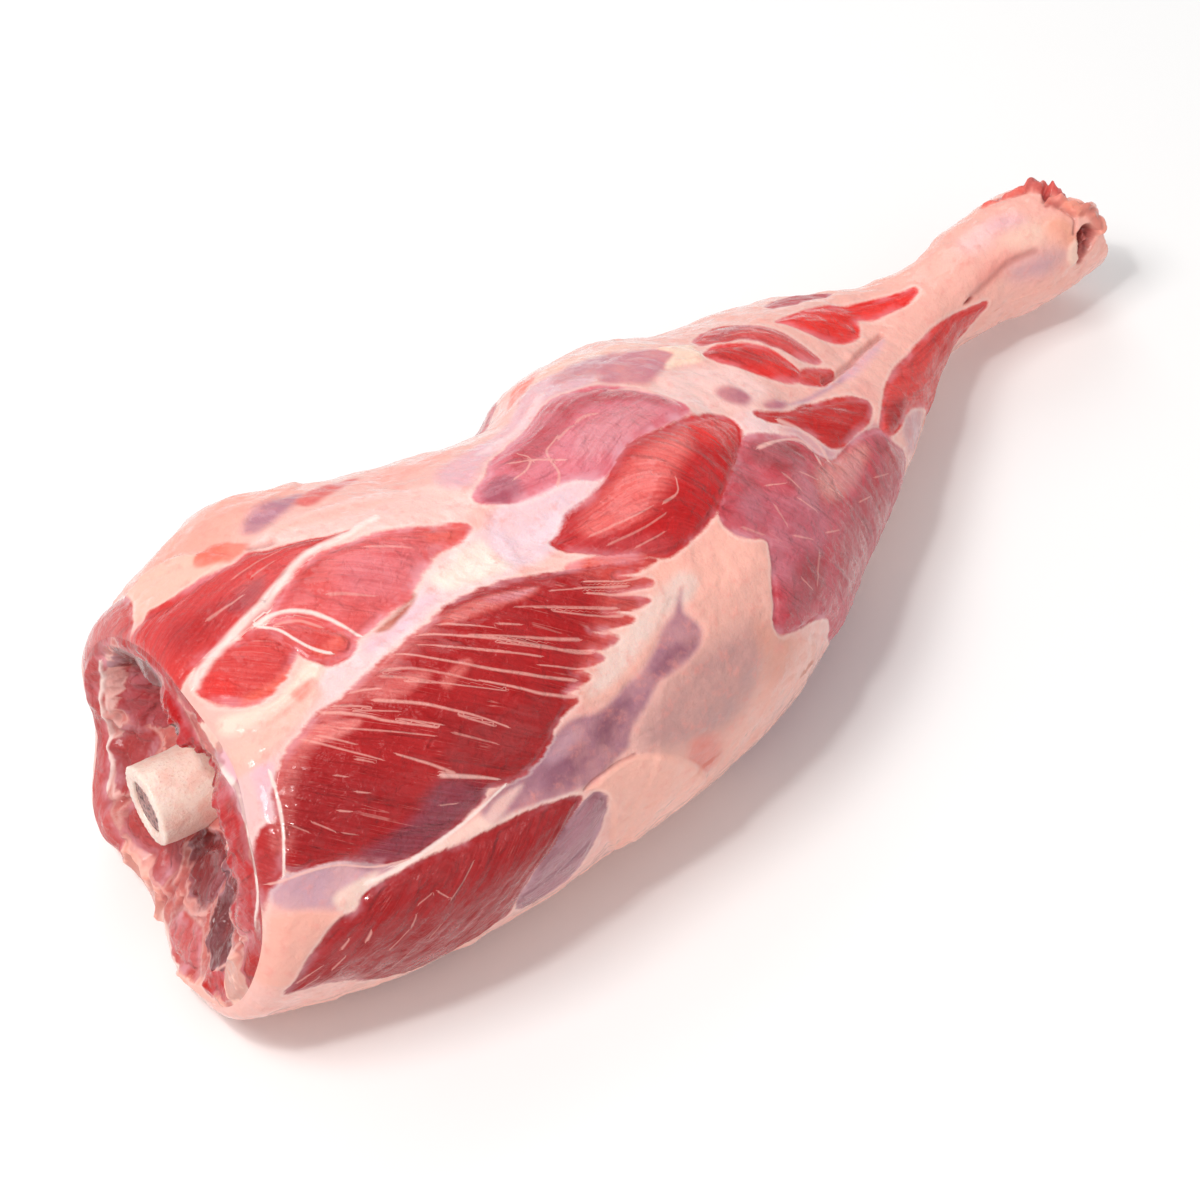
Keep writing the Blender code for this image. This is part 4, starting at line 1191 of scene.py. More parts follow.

# Outlines on the cut face give an angle and a share of the way from the bone to the lip.
# Muscles with a negative dome sink into hollows of the cut face. Their dark tints are partly the flesh's own
# darker red and partly painted shade of those hollows.
CUT_MUSCLES = (
    Muscle(((50, 0.93), (60, 0.92), (72, 0.94), (86, 0.95), (92, 1), (88, 1.15), (50, 1.15)), (192, 54, 54),
        (60, 60), 0.5, 0, 0.2),
    Muscle(((-34, 0.8), (-22, 0.82), (-8, 0.86), (8, 0.88), (22, 0.9), (36, 0.94), (42, 1.1), (10, 1.15),
        (-30, 1.15), (-38, 0.95)), (198, 66, 64), (80, 80), 1.4, 0.05, 0.2),
    Muscle(((22, 0.5), (32, 0.42), (46, 0.42), (58, 0.46), (66, 0.52), (74, 0.64), (76, 0.86), (68, 0.93),
        (54, 0.92), (40, 0.9), (28, 0.84), (22, 0.68)), (132, 70, 66), (60, 60), -1.4, 0.1),
    Muscle(((40, 0.56), (50, 0.54), (58, 0.6), (56, 0.7), (46, 0.72), (38, 0.66)), (104, 44, 46), (60, 60),
        -2.4),
    Muscle(((76, 0.56), (82, 0.5), (90, 0.52), (96, 0.6), (97, 0.72), (92, 0.84), (84, 0.9), (76, 0.88),
        (72, 0.76), (73, 0.64)), (196, 34, 38), (80, 80), 3.4),
    Muscle(((84, 0.66), (89, 0.64), (91, 0.7), (87, 0.74), (83, 0.72)), (110, 24, 28), (80, 80), -2),
    Muscle(((-2, 0.5), (6, 0.44), (16, 0.46), (24, 0.56), (28, 0.7), (24, 0.78), (12, 0.76), (0, 0.7),
        (-6, 0.6)), (176, 62, 68), (20, 20), 2, 0.1),
    Muscle(((110, 0.36), (118, 0.35), (126, 0.4), (126, 0.5), (118, 0.52), (110, 0.46)), (104, 30, 32),
        (100, 100), -2.6),
    Muscle(((100, 0.74), (106, 0.67), (114, 0.66), (124, 0.68), (136, 0.7), (150, 0.72), (164, 0.74),
        (172, 0.8), (168, 0.9), (158, 0.95), (146, 0.97), (132, 0.97), (118, 0.96), (108, 0.9)),
        (196, 48, 48), (120, 120), 2.4, 0.05, 0.3),
    Muscle(((102, 0.44), (110, 0.42), (120, 0.46), (128, 0.54), (126, 0.62), (116, 0.62), (106, 0.58)),
        (176, 42, 44), (110, 110), 1.6, 0, 0.2),
    Muscle(((148, 1), (160, 0.97), (172, 0.9), (184, 0.92), (188, 1.1), (160, 1.15), (144, 1.15)),
        (188, 58, 56), (120, 120), 1.2, 0, 0.2),
    Muscle(((144, 0.5), (156, 0.48), (170, 0.52), (176, 0.62), (168, 0.7), (154, 0.7), (142, 0.62)),
        (140, 58, 56), (110, 110), -1.2, 0.1, 0.3),
    Muscle(((200, 0.34), (220, 0.32), (244, 0.34), (262, 0.36), (262, 0.52), (244, 0.58), (222, 0.56),
        (204, 0.48)), (140, 46, 46), (30, 30), -1.6, 0.05),
    Muscle(((178, 0.46), (188, 0.44), (200, 0.48), (212, 0.58), (216, 0.7), (210, 0.8), (198, 0.82),
        (186, 0.78), (179, 0.64)), (126, 66, 68), (70, 70), -3, 0.1),
    Muscle(((202, 0.84), (210, 0.82), (218, 0.84), (220, 0.9), (212, 0.94), (203, 0.92)), (200, 48, 42),
        (60, 60), 1.6),
    Muscle(((300, 0.82), (312, 0.8), (324, 0.82), (330, 0.9), (330, 1.15), (300, 1.15), (296, 0.94)),
        (204, 84, 80), (60, 60), 1.4, 0.1),
    Muscle(((322, 0.6), (334, 0.54), (346, 0.56), (350, 0.7), (340, 0.78), (326, 0.74)), (176, 66, 66),
        (0, 0), 0.6, 0.1),
    Muscle(((272, 0.56), (290, 0.52), (308, 0.54), (312, 0.68), (300, 0.76), (280, 0.74), (270, 0.66)),
        (190, 74, 70), (40, 40), 0.8, 0.1),
    Muscle(((226, 0.7), (240, 0.68), (256, 0.7), (260, 0.82), (250, 0.88), (232, 0.86)), (206, 84, 78),
        (60, 60), 0.8, 0.15),
)

CUT_PATCHES = (
    Patch(((-40, 0.7), (-20, 0.72), (0, 0.76), (20, 0.8), (34, 0.86), (30, 0.92), (8, 0.84), (-18, 0.79),
        (-40, 0.75)), (234, 176, 168), 1, 0.5),
    Patch(((20, 0.28), (44, 0.28), (62, 0.34), (70, 0.44), (60, 0.46), (44, 0.42), (26, 0.42)),
        (236, 172, 168), 1.4, 1.6),
    Patch(((96, 0.26), (112, 0.26), (112, 0.38), (100, 0.46), (92, 0.4)), (248, 206, 192), 1.4, 1.4),
    Patch(((88, 0.97), (96, 0.93), (108, 0.88), (112, 0.94), (106, 1.1), (88, 1.1)), (250, 196, 182), 0.8,
        0.6),
    Patch(((100, 0.88), (110, 0.84), (118, 0.84), (122, 0.9), (120, 1.1), (104, 1.1)), (232, 178, 192), 1.2,
        0.6),
    Patch(((122, 0.4), (140, 0.36), (160, 0.36), (172, 0.42), (172, 0.56), (150, 0.56), (126, 0.54)),
        (240, 184, 172), 1.4, 0.6),
    Patch(((172, 0.4), (184, 0.38), (192, 0.44), (184, 0.56), (172, 0.58)), (232, 148, 144), 1.4, 1.2),
    Patch(((184, 0.82), (196, 0.84), (204, 0.94), (204, 1.1), (182, 1.1)), (252, 196, 178), 1.2, 2),
    Patch(((216, 0.88), (232, 0.88), (248, 0.9), (250, 1.1), (214, 1.1)), (252, 172, 152), 1.4, 2.4),
    Patch(((250, 0.88), (262, 0.86), (272, 0.88), (274, 1.1), (250, 1.1)), (248, 208, 198), 1.2, 0.8),
    Patch(((274, 0.78), (288, 0.76), (300, 0.82), (302, 1.1), (272, 1.1)), (253, 178, 160), 1.6, 2.8),
)

CUT_STREAKS = (
    Streak(((104, 0.93), (112, 0.98), (124, 0.99), (138, 0.99), (150, 0.98), (162, 0.94)), (0.8, 0.5), 1,
        0.6),
    Streak(((112, 0.62), (124, 0.64), (140, 0.67), (156, 0.7)), (0.7, 0.5), 1, 0.6),
    Streak(((132, 0.5), (146, 0.58), (160, 0.66)), (0.6, 0.4), 0.9, 0.5),
    Streak(((122, 0.36), (130, 0.46), (138, 0.58)), (0.6, 0.3), 0.9, 0.6),
    Streak(((130, 0.36), (142, 0.46), (152, 0.6)), (0.5, 0.3), 0.9, 0.6),
    Streak(((138, 0.34), (152, 0.44), (166, 0.56)), (0.6, 0.3), 0.9, 0.6),
    Streak(((150, 0.34), (162, 0.42), (176, 0.5)), (0.4, 0.3), 0.8, 0.5),
    Streak(((110, 0.55), (126, 0.54), (144, 0.55), (160, 0.57)), (0.5, 0.4), 0.8, 0.5),
    Streak(((-36, 0.79), (-14, 0.81), (6, 0.85), (26, 0.9)), (0.7, 0.7), 1, 0.6),
    Streak(((30, 0.4), (44, 0.38), (58, 0.42), (70, 0.52)), (0.6, 0.5), 0.9, 0.5),
    Streak(((74, 0.52), (76, 0.66), (74, 0.8)), (0.4, 0.4), 0.8, 0.4),
    Streak(((176, 0.84), (192, 0.83), (206, 0.82)), (0.6, 0.5), 0.9, 0.4),
    Streak(((268, 0.76), (286, 0.76), (302, 0.79)), (0.6, 0.5), 0.8, 0.4),
    Streak(((222, 0.6), (240, 0.63), (258, 0.63)), (0.5, 0.4), 0.8, 0.4),
    Streak(((318, 0.6), (330, 0.5), (346, 0.46)), (0.5, 0.4), 0.8, 0.4),
)

# Grooves of the cut face: a path, a width and a depth. Each is sunk, and painted shade darkens it.
CUT_GROOVES = (
    (((58, 0.3), (68, 0.36), (74, 0.46)), 1.2, 2),
    (((98, 0.5), (100, 0.66), (98, 0.8)), 1, 1.6),
    (((104, 0.63), (118, 0.645), (140, 0.68), (160, 0.71)), 0.8, 1.4),
    (((176, 0.6), (180, 0.74), (178, 0.86)), 1, 1.6),
    (((262, 0.5), (266, 0.66), (270, 0.8)), 1, 1.6),
    (((312, 0.5), (316, 0.66), (318, 0.8)), 1, 1.6),
)


class CutCanvas(Canvas):
    """The cut face: u is y and v is z."""

    def __init__(self, y, z, share):
        super().__init__(y, z, np.zeros(y.shape + (3,)) + linear(CUT_TINT))
        self.paint(CUT_MUSCLES, CUT_PATCHES, CUT_STREAKS, CUT_GROOVES)
        wander = WANDER * rough_grain(y / WANDER_SIZE, z / WANDER_SIZE, 2.0, seed=41)
        clumps = rough_grain((y + wander) / CLUMP_SIZE, (z - wander) / CLUMP_SIZE, 5.0, seed=45, layers=4)
        self.height += CLUMP_HEIGHT * clumps * (1 - 0.8 * ease(0.7, 0.95, share))
        self.flesh += CLUMP_FRAYING * clumps
        blotches = rough_grain(y / BLOTCH_SIZE, z / BLOTCH_SIZE, 12.0, seed=55)
        self.film = self.film + np.clip(blotches, 0, 1) * 0.25
        # Painted shade in the low places between the torn clumps.
        self.crease_shade = np.maximum(self.crease_shade, ease(-0.25, -0.7, clumps))

    def laid_flat(self, points):
        turn = np.radians(points[:, 0])
        _, edge_y, edge_z = rim(turn, 0.0, lip_inset(turn))
        _, hub_y, hub_z = BONE_END
        flat_y = hub_y + (edge_y - hub_y) * points[:, 1]
        flat_z = hub_z + (edge_z - hub_z) * points[:, 1]
        return np.stack((flat_y, flat_z), -1), np.stack((self.u, self.v), -1)


class CutGrid:
    """The hip cut, from the middle of the bone to the lip, as one fine grid."""

    def __init__(self, rows, angle):
        self.angle = angle
        share = np.linspace(0, 1, rows) ** RING_SPREAD
        self.share, turn = np.meshgrid(share, angle, indexing="ij")
        edge_s, edge_y, edge_z = rim(angle, 0.0, lip_inset(angle))
        _, hub_y, hub_z = BONE_END
        hub_s = CUT_S + CUT_TURN * hub_y + CUT_LEAN * (hub_z - CUT_LEVEL)
        self.y = hub_y + (edge_y - hub_y) * self.share
        self.z = hub_z + (edge_z - hub_z) * self.share
        s = hub_s + (edge_s - hub_s) * self.share
        s = s + HOLLOW_DEPTH * (1 - ease(HOLLOW_FLOOR, HOLLOW_EDGE, self.share))
        away = ((self.y - POCKET_Y) ** 2 + (self.z - POCKET_Z) ** 2) / POCKET_RADIUS**2
        s = s + POCKET_DEPTH * np.exp(-away) * (1 - ease(POCKET_EDGE, 1, self.share))
        self.look = CutCanvas(self.y, self.z, self.share)
        off_bone = ease(0.1, 0.2, self.share)
        at_lip = ease(0.95, 1.0, self.share)
        s = s - self.look.height * off_bone * (1 - at_lip)
        self.points = kept_in_box(to_frame(s, self.y, self.z))
        self.points[0] = self.points[0].mean(0)

    def piece_mesh(self, name):
        rows, columns = self.y.shape
        mesh, row, column = grid_mesh(name, rows, columns + 1)
        place = (row, column % columns)
        mesh.vertices.foreach_set("co", self.points[place].astype(np.float32).ravel())
        self.look.keep(mesh, place)
        weld(mesh)
        return mesh


# ---------------- materials

# Outputs of an Attribute node, and the Object output of a Texture Coordinate node.
COLOUR = 0
VECTOR = 1
NUMBER = 2
OBJECT = 3

# Sockets of a Mix node that mixes colours.
FIRST = 6
SECOND = 7
MIXED = 2


class Number:
    """A value on its way through a material's nodes. Arithmetic on it adds Math nodes."""

    def __init__(self, finish, socket):
        self.finish = finish
        self.socket = socket

    def math(self, operation, *values):
        return self.finish.node("ShaderNodeMath", {"operation": operation}, dict(enumerate(values)))

    def __add__(self, other):
        return self.math("ADD", self, other)

    __radd__ = __add__

    def __sub__(self, other):
        return self.math("SUBTRACT", self, other)

    def __rsub__(self, other):
        return self.math("SUBTRACT", other, self)

    def __mul__(self, other):
        return self.math("MULTIPLY", self, other)

    __rmul__ = __mul__

    def __truediv__(self, other):
        return self.math("DIVIDE", self, other)

    def __abs__(self):
        return self.math("ABSOLUTE", self)

    def step(self, low, high, start=0.0, end=1.0):
        """A smooth step from start, where the value is low, to end, where it is high."""
        sockets = {0: self, 1: low, 2: high, 3: start, 4: end}
        return self.finish.node("ShaderNodeMapRange", {"interpolation_type": "SMOOTHSTEP"}, sockets)


class Finish:
    """A material, built up node by node."""

    def __init__(self, name):
        self.material = bpy.data.materials.new(name)
        self.material.use_nodes = True
        self.tree = self.material.node_tree
        self.shader = self.tree.nodes["Principled BSDF"]

    def node(self, kind, settings, sockets, output=0):
        made = self.tree.nodes.new(kind)
        for key, value in settings.items():
            setattr(made, key, value)
        for key, value in sockets.items():
            if isinstance(value, Number):
                self.tree.links.new(value.socket, made.inputs[key])
            else:
                made.inputs[key].default_value = value
        return Number(self, made.outputs[output])

    def kept(self, name, output):
        """What the mesh keeps under a name, as a COLOUR, a VECTOR or a NUMBER."""
        return self.node("ShaderNodeAttribute", {"attribute_name": name}, {}, output)

    def place(self):
        """The place on the piece, in millimetres."""
        spot = self.node("ShaderNodeTexCoord", {}, {}, OBJECT)
        return self.scaled(spot, (1 / MM, 1 / MM, 1 / MM))

    def scaled(self, vector, factors):
        return self.node("ShaderNodeVectorMath", {"operation": "MULTIPLY"}, {0: vector, 1: factors})

    def noise(self, vector, size, detail=2.0, roughness=0.5, distortion=0.0):
        """Noise from 0 to 1 whose patches are about size wide."""
        sockets = {
            "Vector": vector,
            "Scale": 1.0 / size,
            "Detail": detail,
            "Roughness": roughness,
            "Distortion": distortion,
        }
        return self.node("ShaderNodeTexNoise", {}, sockets)

    def cells(self, vector, size, feature="F1"):
        """How far each place is from the middle of its cell. Cells are about size wide."""
        sockets = {"Vector": vector, "Scale": 1.0 / size}
        return self.node("ShaderNodeTexVoronoi", {"feature": feature}, sockets)

    def blend(self, share, first, second, mode="MIX"):
        """A colour between two: share 0 gives the first."""
        settings = {"data_type": "RGBA", "blend_type": mode}
        return self.node("ShaderNodeMix", settings, {0: share, FIRST: first, SECOND: second}, MIXED)

    def bump(self, height, distance):
        return self.node("ShaderNodeBump", {}, {"Height": height, "Distance": distance, "Strength": 1.0})

    def set(self, **values):
        """Sets or links the shader's own sockets. Underscores stand for the spaces in their names."""
        for key, value in values.items():
            socket = self.shader.inputs[key.replace("_", " ")]
            if isinstance(value, Number):
                self.tree.links.new(value.socket, socket)
            else:
                socket.default_value = value


class MeatFinish(Finish):
    """Wet raw flesh, fat and silver skin, laid out by what the mesh keeps for each of its vertices."""

    def __init__(self, name, colours):
        super().__init__(name)
        self.colours = colours
        self.spot = self.place()
        self.fibre = self.kept("fibre", VECTOR)
        self.flesh = self.kept("flesh", NUMBER)
        self.streaks = self.kept("streaks", NUMBER)
        self.fine_fibre = self.strands(0.045, 0.75, detail=3.0, roughness=0.6, distortion=0.3)
        self.bundle = self.strands(0.07, 2.6, distortion=0.4)
        self.fray = self.strands(0.16, 3.0, distortion=0.4)
        self.patchy = self.noise(self.spot, 9.0, detail=3.0, roughness=0.55)
        self.fine = self.noise(self.spot, 1.1, detail=3.0, roughness=0.6)
        self.blush = self.noise(self.spot, 4.0, detail=3.0, roughness=0.6)
        fringe = (self.fray - 0.5) * (self.streaks * 2.6 + 0.8)
        self.edge = self.flesh + 0.8 + fringe + (self.fine - 0.5) * 0.8
        self.bare = self.edge.step(-0.6, 0.6)

    def strands(self, share, size, **shape):
        """Noise drawn out along the fibres, where it changes by a share of what it does across them."""
        return self.noise(self.scaled(self.fibre, (share, 1.0, 1.0)), size, **shape)

    def flesh_colour(self):
        """Red flesh of dark and bright fibres, with pale fibres in it and silver skin over it."""
        colours = self.colours
        skin = self.kept("film", NUMBER)
        tone = self.fine_fibre * 0.45 + self.bundle * 0.35 + self.fine * 0.2
        shade = self.blend(tone.step(0.34, 0.66), colours["dark"], colours["bright"])
        shade = self.blend(skin * 2.4, shade, colours["bright"])
        red = self.blend(1.0, self.kept("flesh_tint", COLOUR), shade, "MULTIPLY")
        thread = abs(self.strands(0.03, 2.6, detail=1.0, distortion=0.2) - 0.5)
        pale = thread.step(0.0, 0.014, 1.0, 0.0) * self.patchy.step(0.5, 0.62) * self.streaks
        marbled = self.blend(pale * 0.4, red, colours["thread"])
        film = skin * self.patchy.step(0.35, 0.65, 0.1, 0.9)
        veil = self.edge.step(0.3, 3.0, 0.3, 0.0) * self.patchy.step(0.4, 0.65)
        return self.blend(film + veil, marbled, colours["film"])

    def fat_colour(self):
        """Fat, pink in spots and whiter beside the flesh."""
        tint = self.kept("cover_tint", COLOUR)
        fat = self.blend(self.patchy.step(0.35, 0.7, 0.0, 0.25), tint, self.colours["fat"])
        fat = self.blend(self.blush.step(0.5, 0.8, 0.0, 0.5), fat, self.colours["blush"])
        border = abs(self.edge + 0.6).step(0.0, 1.0, 0.22, 0.0)
        return self.blend(border, fat, self.colours["seam"])

    def lined(self, color):
        """A colour with the lines of white tissue over it, and with painted shade darkening its creases."""
        strength = self.kept("line_strength", NUMBER)
        off_line = abs(self.kept("line", NUMBER)) / self.kept("line_width", NUMBER)
        gap = off_line + (self.fray - 0.5) * 1.1
        beside = self.kept("line_gap", NUMBER).step(0.3, 0.9, 1.0, 0.0)
        line = gap.step(0.2, 1.5, 0.85, 0.0) * strength * beside
        white = self.blend(strength.step(0.86, 0.98), self.colours["thread"], self.colours["seam"])
        color = self.blend(line, color, white)
        # Painted shade: creases are darkened toward the crease colour.
        return self.blend(self.kept("crease_shade", NUMBER) * 0.45, color, self.colours["deep"])

    def relief(self):
        """How far the wet surface stands out: folds along the flesh's fibres, lobules in the fat."""
        folds = self.strands(0.35, 6.0, distortion=0.8)
        wrinkles = self.noise(self.spot, 3.2, distortion=0.6)
        fibres = (self.fine_fibre - 0.5) * 0.2 + (self.bundle - 0.5) * 0.3
        flesh = fibres + (folds - 0.5) * 2.4 + (wrinkles - 0.5) * 0.8
        lobules = self.cells(self.spot, 2.6, "SMOOTH_F1")
        fat = (lobules - 0.5) * 0.1 + (self.fine - 0.5) * 0.15 + (self.blush - 0.5) * 0.4
        return self.flesh.step(0.4, 1.6) * flesh + (1 - self.bare) * fat

    def built(self):
        """The finished material."""
        color = self.blend(self.bare, self.fat_colour(), self.flesh_colour())
        wet = self.patchy.step(0.3, 0.7, 0.24, 0.4)
        self.set(
            Base_Color=self.lined(color),
            Roughness=wet + (1 - self.bare) * 0.06,
            Normal=self.bump(self.relief(), 0.0012),
            Coat_Weight=self.patchy.step(0.4, 0.65, 1.0, 0.3),
            Coat_Roughness=0.09,
            Coat_IOR=1.35,
            Subsurface_Weight=0.1,
            Subsurface_Radius=(1.0, 0.35, 0.22),
            Subsurface_Scale=0.003,
            Specular_IOR_Level=0.15,
        )
        return self.material


def bone_finish(name, colours):
    """Fresh bone: creamy, pink where the red marrow shows through, and porous on its sawn end."""
    f = Finish(name)
    place = f.place()
    mottle = f.noise(place, 5.0, 3.0, 0.6)
    fine = f.noise(place, 0.9, 3.0, 0.6)
    saw = f.noise(f.scaled(place, (1.0, 1.0, 6.0)), 2.0, 2.0)
    color = f.blend(mottle.step(0.4, 0.7, 0.0, 0.55), colours["bone"], colours["bone_pink"])
    color = f.blend(fine.step(0.55, 0.75, 0.0, 0.4), color, colours["bone_red"])
    f.set(
        Base_Color=color,
        Roughness=mottle.step(0.3, 0.7, 0.3, 0.45),
        Normal=f.bump(fine * 0.6 + saw * 0.4, 0.0004),
        Coat_Weight=0.3,
        Coat_Roughness=0.15,
        Subsurface_Weight=0.15,
        Subsurface_Radius=(1.0, 0.5, 0.3),
        Subsurface_Scale=0.003,
    )
    return f.material


def marrow_finish(name, colours):
    """Red marrow in a fine sponge of bone."""
    f = Finish(name)
    place = f.place()
    sponge = f.cells(place, 1.5)
    fine = f.noise(place, 0.8, 3.0, 0.6)
    color = f.blend(sponge.step(0.25, 0.6), colours["marrow_deep"], colours["marrow"])
    color = f.blend(fine.step(0.55, 0.75, 0.0, 0.6), color, colours["marrow_pale"])
    f.set(
        Base_Color=color,
        Roughness=0.45,
        Normal=f.bump(sponge + fine * 0.5, 0.0006),
        Coat_Weight=0.3,
        Coat_Roughness=0.2,
    )
    return f.material


def floor_finish(name, tint):
    f = Finish(name)
    speckle = f.noise(f.place(), 40.0, 2.0)
    color = f.blend(speckle.step(0.2, 0.8, 0.0, 0.02), tint, (0.8, 0.8, 0.8, 1.0))
    f.set(Base_Color=color, Roughness=0.8, Specular_IOR_Level=0.2)
    return f.material


# ---------------- bone and marrow

# Unevenness of the bone in millimetres, and how far along it the sawn end is pitted.
BONE_LUMP_SIZE = 6
PIT_SIZE = 1.6
PITS_DEEPER_BY = 1.5
SAWN_END = 1.5


def bone_radius(along):
    """The bone's radius along the bone: a slim shaft that widens into the knuckle at the knee."""
    return BONE_RADIUS + (KNUCKLE_RADIUS - BONE_RADIUS) * float(ease(KNUCKLE_START, KNUCKLE_FULL, along))


def turned(outline, steps):
    """Turns a line of (distance along the bone, radius) about the bone's axis, where it lies in the leg."""
    bm = bmesh.new()
    verts = [bm.verts.new((along * MM, radius * MM, 0.0)) for along, radius in outline]
    edges = [bm.edges.new(pair) for pair in zip(verts, verts[1:])]
    bmesh.ops.spin(
        bm,
        geom=verts + edges,
        axis=(1.0, 0.0, 0.0),
        cent=(0.0, 0.0, 0.0),
        angle=2 * math.pi,
        steps=steps,
        use_merge=True,
    )
    bmesh.ops.remove_doubles(bm, verts=bm.verts, dist=MERGE_DISTANCE)
    return bm


def grain_at(point, size, seed):
    x, y, z = point
    return float(rough_grain(x / size, y / size, z / size, seed))


def finished(bm, name, depth):
    """Roughens a turned bone, pits its sawn end, lays it in the leg and makes its mesh."""
    for vert in bm.verts:
        x, y, z = (value / MM for value in vert.co)
        out = Vector((0.0, y, z)).normalized() if abs(y) + abs(z) > 0.01 else Vector()
        amount = depth * grain_at((x, y, z), BONE_LUMP_SIZE, 61)
        pitted = depth * PITS_DEEPER_BY * grain_at((x, y, z), PIT_SIZE, 65) if x < SAWN_END else 0.0
        vert.co += (out * amount + Vector((abs(pitted), 0.0, 0.0))) * MM
    bmesh.ops.recalc_face_normals(bm, faces=bm.faces)
    turn = Matrix.Rotation(math.radians(BONE_TURN), 4, "Z")
    place = Matrix.Translation(Vector(to_frame(*BONE_END))) @ turn
    bmesh.ops.transform(bm, matrix=place, verts=bm.verts)
    mesh = bpy.data.meshes.new(name)
    bm.to_mesh(mesh)
    bm.free()
    return mesh


def bone_mesh(name):
    """The sawn thigh bone, from its round knuckle to its sawn end, where its marrow hole is open."""
    hole = BONE_RADIUS - BONE_WALL
    outline = [(BONE_LENGTH, 0.0), (BONE_LENGTH - 2.0, 7.0), (BONE_LENGTH - 8.0, 12.0), (KNUCKLE_FULL, 15.0)]
    outline += [(along, bone_radius(along)) for along in (146.0, 136.0, 126.0, 100.0, 70.0, 50.0, 36.0)]
    outline += [(along, BONE_RADIUS) for along in np.arange(28.0, 1.0, -1.2)]
    outline += [(0.7, BONE_RADIUS), (0.2, BONE_RADIUS - 0.3), (0.0, BONE_RADIUS - 0.8)]
    outline += [(0.0, BONE_RADIUS - 1.7), (0.0, BONE_RADIUS - 2.6), (0.0, BONE_RADIUS - 3.4)]
    outline += [(0.1, hole + 0.4), (0.5, hole), (2.0, hole), (8.0, hole), (20.0, 0.0)]
    return finished(turned(outline, steps=96), name, depth=0.28)


def marrow_mesh(name):
    """The marrow, a porous face a little below the sawn end."""
    radius = BONE_RADIUS - BONE_WALL - 0.1
    outline = [(MARROW_SINK, 0.0)]
    outline += [(MARROW_SINK, radius * share) for share in np.arange(0.1, 1.0, 0.1)]
    outline += [(MARROW_SINK + 0.2, radius), (4.0, radius), (7.5, radius), (10.0, 0.0)]
    return finished(turned(outline, steps=72), name, depth=0.3)


# ---------------- settings


def colour_setting(name, description, tint):
    return FloatVectorProperty(
        name=name,
        description=description,
        subtype="COLOR",
        size=3,
        min=0.0,
        max=1.0,
        default=tuple(float(value) for value in linear(tint)),
    )


class LambSizes(bpy.types.PropertyGroup):
    """Sizes that can be changed before the leg is built."""

    rows: IntProperty(
        name="Rows", description="Rows of the skin along the leg", default=560, min=60, max=900
    )
    columns_shown: IntProperty(
        name="Columns above", description="Columns of the skin over the top and back", default=520, min=60
    )
    columns_hidden: IntProperty(
        name="Columns below", description="Columns of the skin under the leg", default=110, min=20
    )
    relief: FloatProperty(
        name="Relief", description="How far muscles, seams and fat stand out", default=1.0, min=0.0, max=1.2
    )
    cut_rows: IntProperty(name="Cut rows", description="Rings of the cut face", default=150, min=20)
    floor_width: FloatProperty(
        name="Floor", description="Width of the floor", default=12.0, min=1.0, unit="LENGTH"
    )
    camera_distance: FloatProperty(
        name="Camera distance", description="From the camera to its aim", default=1.187, unit="LENGTH"
    )


class LambColours(bpy.types.PropertyGroup):
    """Colours that can be changed before the leg is built."""

    bright: colour_setting("Bright fibres", "Multiplies the flesh's colour at its brightest", (255, 236, 232))
    dark: colour_setting("Dark fibres", "Multiplies the flesh's colour at its darkest", (232, 160, 160))
    # Painted shade: the colour that creases, grooves and torn hollows are darkened toward.
    deep: colour_setting("Creases", "Flesh deep in a crease", (158, 66, 66))
    fat: colour_setting("Fat", "The fat under the skin", (252, 190, 176))
    blush: colour_setting("Blush", "Pink spots in the fat", (240, 150, 140))
    film: colour_setting("Silver skin", "The thin skin over the muscles", (236, 190, 202))
    seam: colour_setting("White tissue", "Seams and threads between the muscles", (253, 228, 220))
    thread: colour_setting("Pale fibres", "Pale fibres that run through the flesh", (238, 170, 160))
    bone: colour_setting("Bone", "The bone's outside", (255, 232, 218))
    bone_pink: colour_setting("Pink bone", "Where blood stains the bone", (246, 190, 174))
    bone_red: colour_setting("Bone pores", "Pores of the bone", (214, 130, 112))
    marrow: colour_setting("Marrow", "The marrow's sponge", (176, 118, 112))
    marrow_deep: colour_setting("Marrow pores", "Pores of the marrow", (96, 52, 50))
    marrow_pale: colour_setting("Marrow fat", "Pale specks in the marrow", (222, 170, 158))
    floor: colour_setting("Floor", "The plain floor", (250, 250, 250))


def chosen_colours(context):
    """The colours of the settings, each with full alpha, by name."""
    colours = context.scene.lamb_colours
    return {name: (*getattr(colours, name), 1.0) for name in LambColours.__annotations__}


# ---------------- operators


class LAMB_OT_side(bpy.types.Operator):
    """Build the side of the leg: its muscles, fat and silver skin, from the cut to the hock"""

    bl_idname = "lamb.side"
    bl_label = "Leg side"

    def execute(self, context):
        grid = SkinGrid(context.scene.lamb_sizes)
        material = MeatFinish("side_meat", chosen_colours(context)).built()
        ends = np.linspace(0, len(grid.points) - 1, len(SIDE_PIECES) + 1).astype(int)
        for name, first, last in zip(SIDE_PIECES, ends[:-1], ends[1:]):
            add_piece(name, grid.piece_mesh(name, int(first), int(last)), material, "leg_meat")
        return {"FINISHED"}


class LAMB_OT_cut(bpy.types.Operator):
    """Build the cut face at the hip, with its hollow and torn edges"""

    bl_idname = "lamb.cut"
    bl_label = "Cut face"

    def execute(self, context):
        sizes = context.scene.lamb_sizes
        grid = CutGrid(sizes.cut_rows, column_angles(sizes))
        material = MeatFinish("cut_meat", chosen_colours(context)).built()
        add_piece("cut_face", grid.piece_mesh("cut_face"), material, "leg_meat")
        return {"FINISHED"}


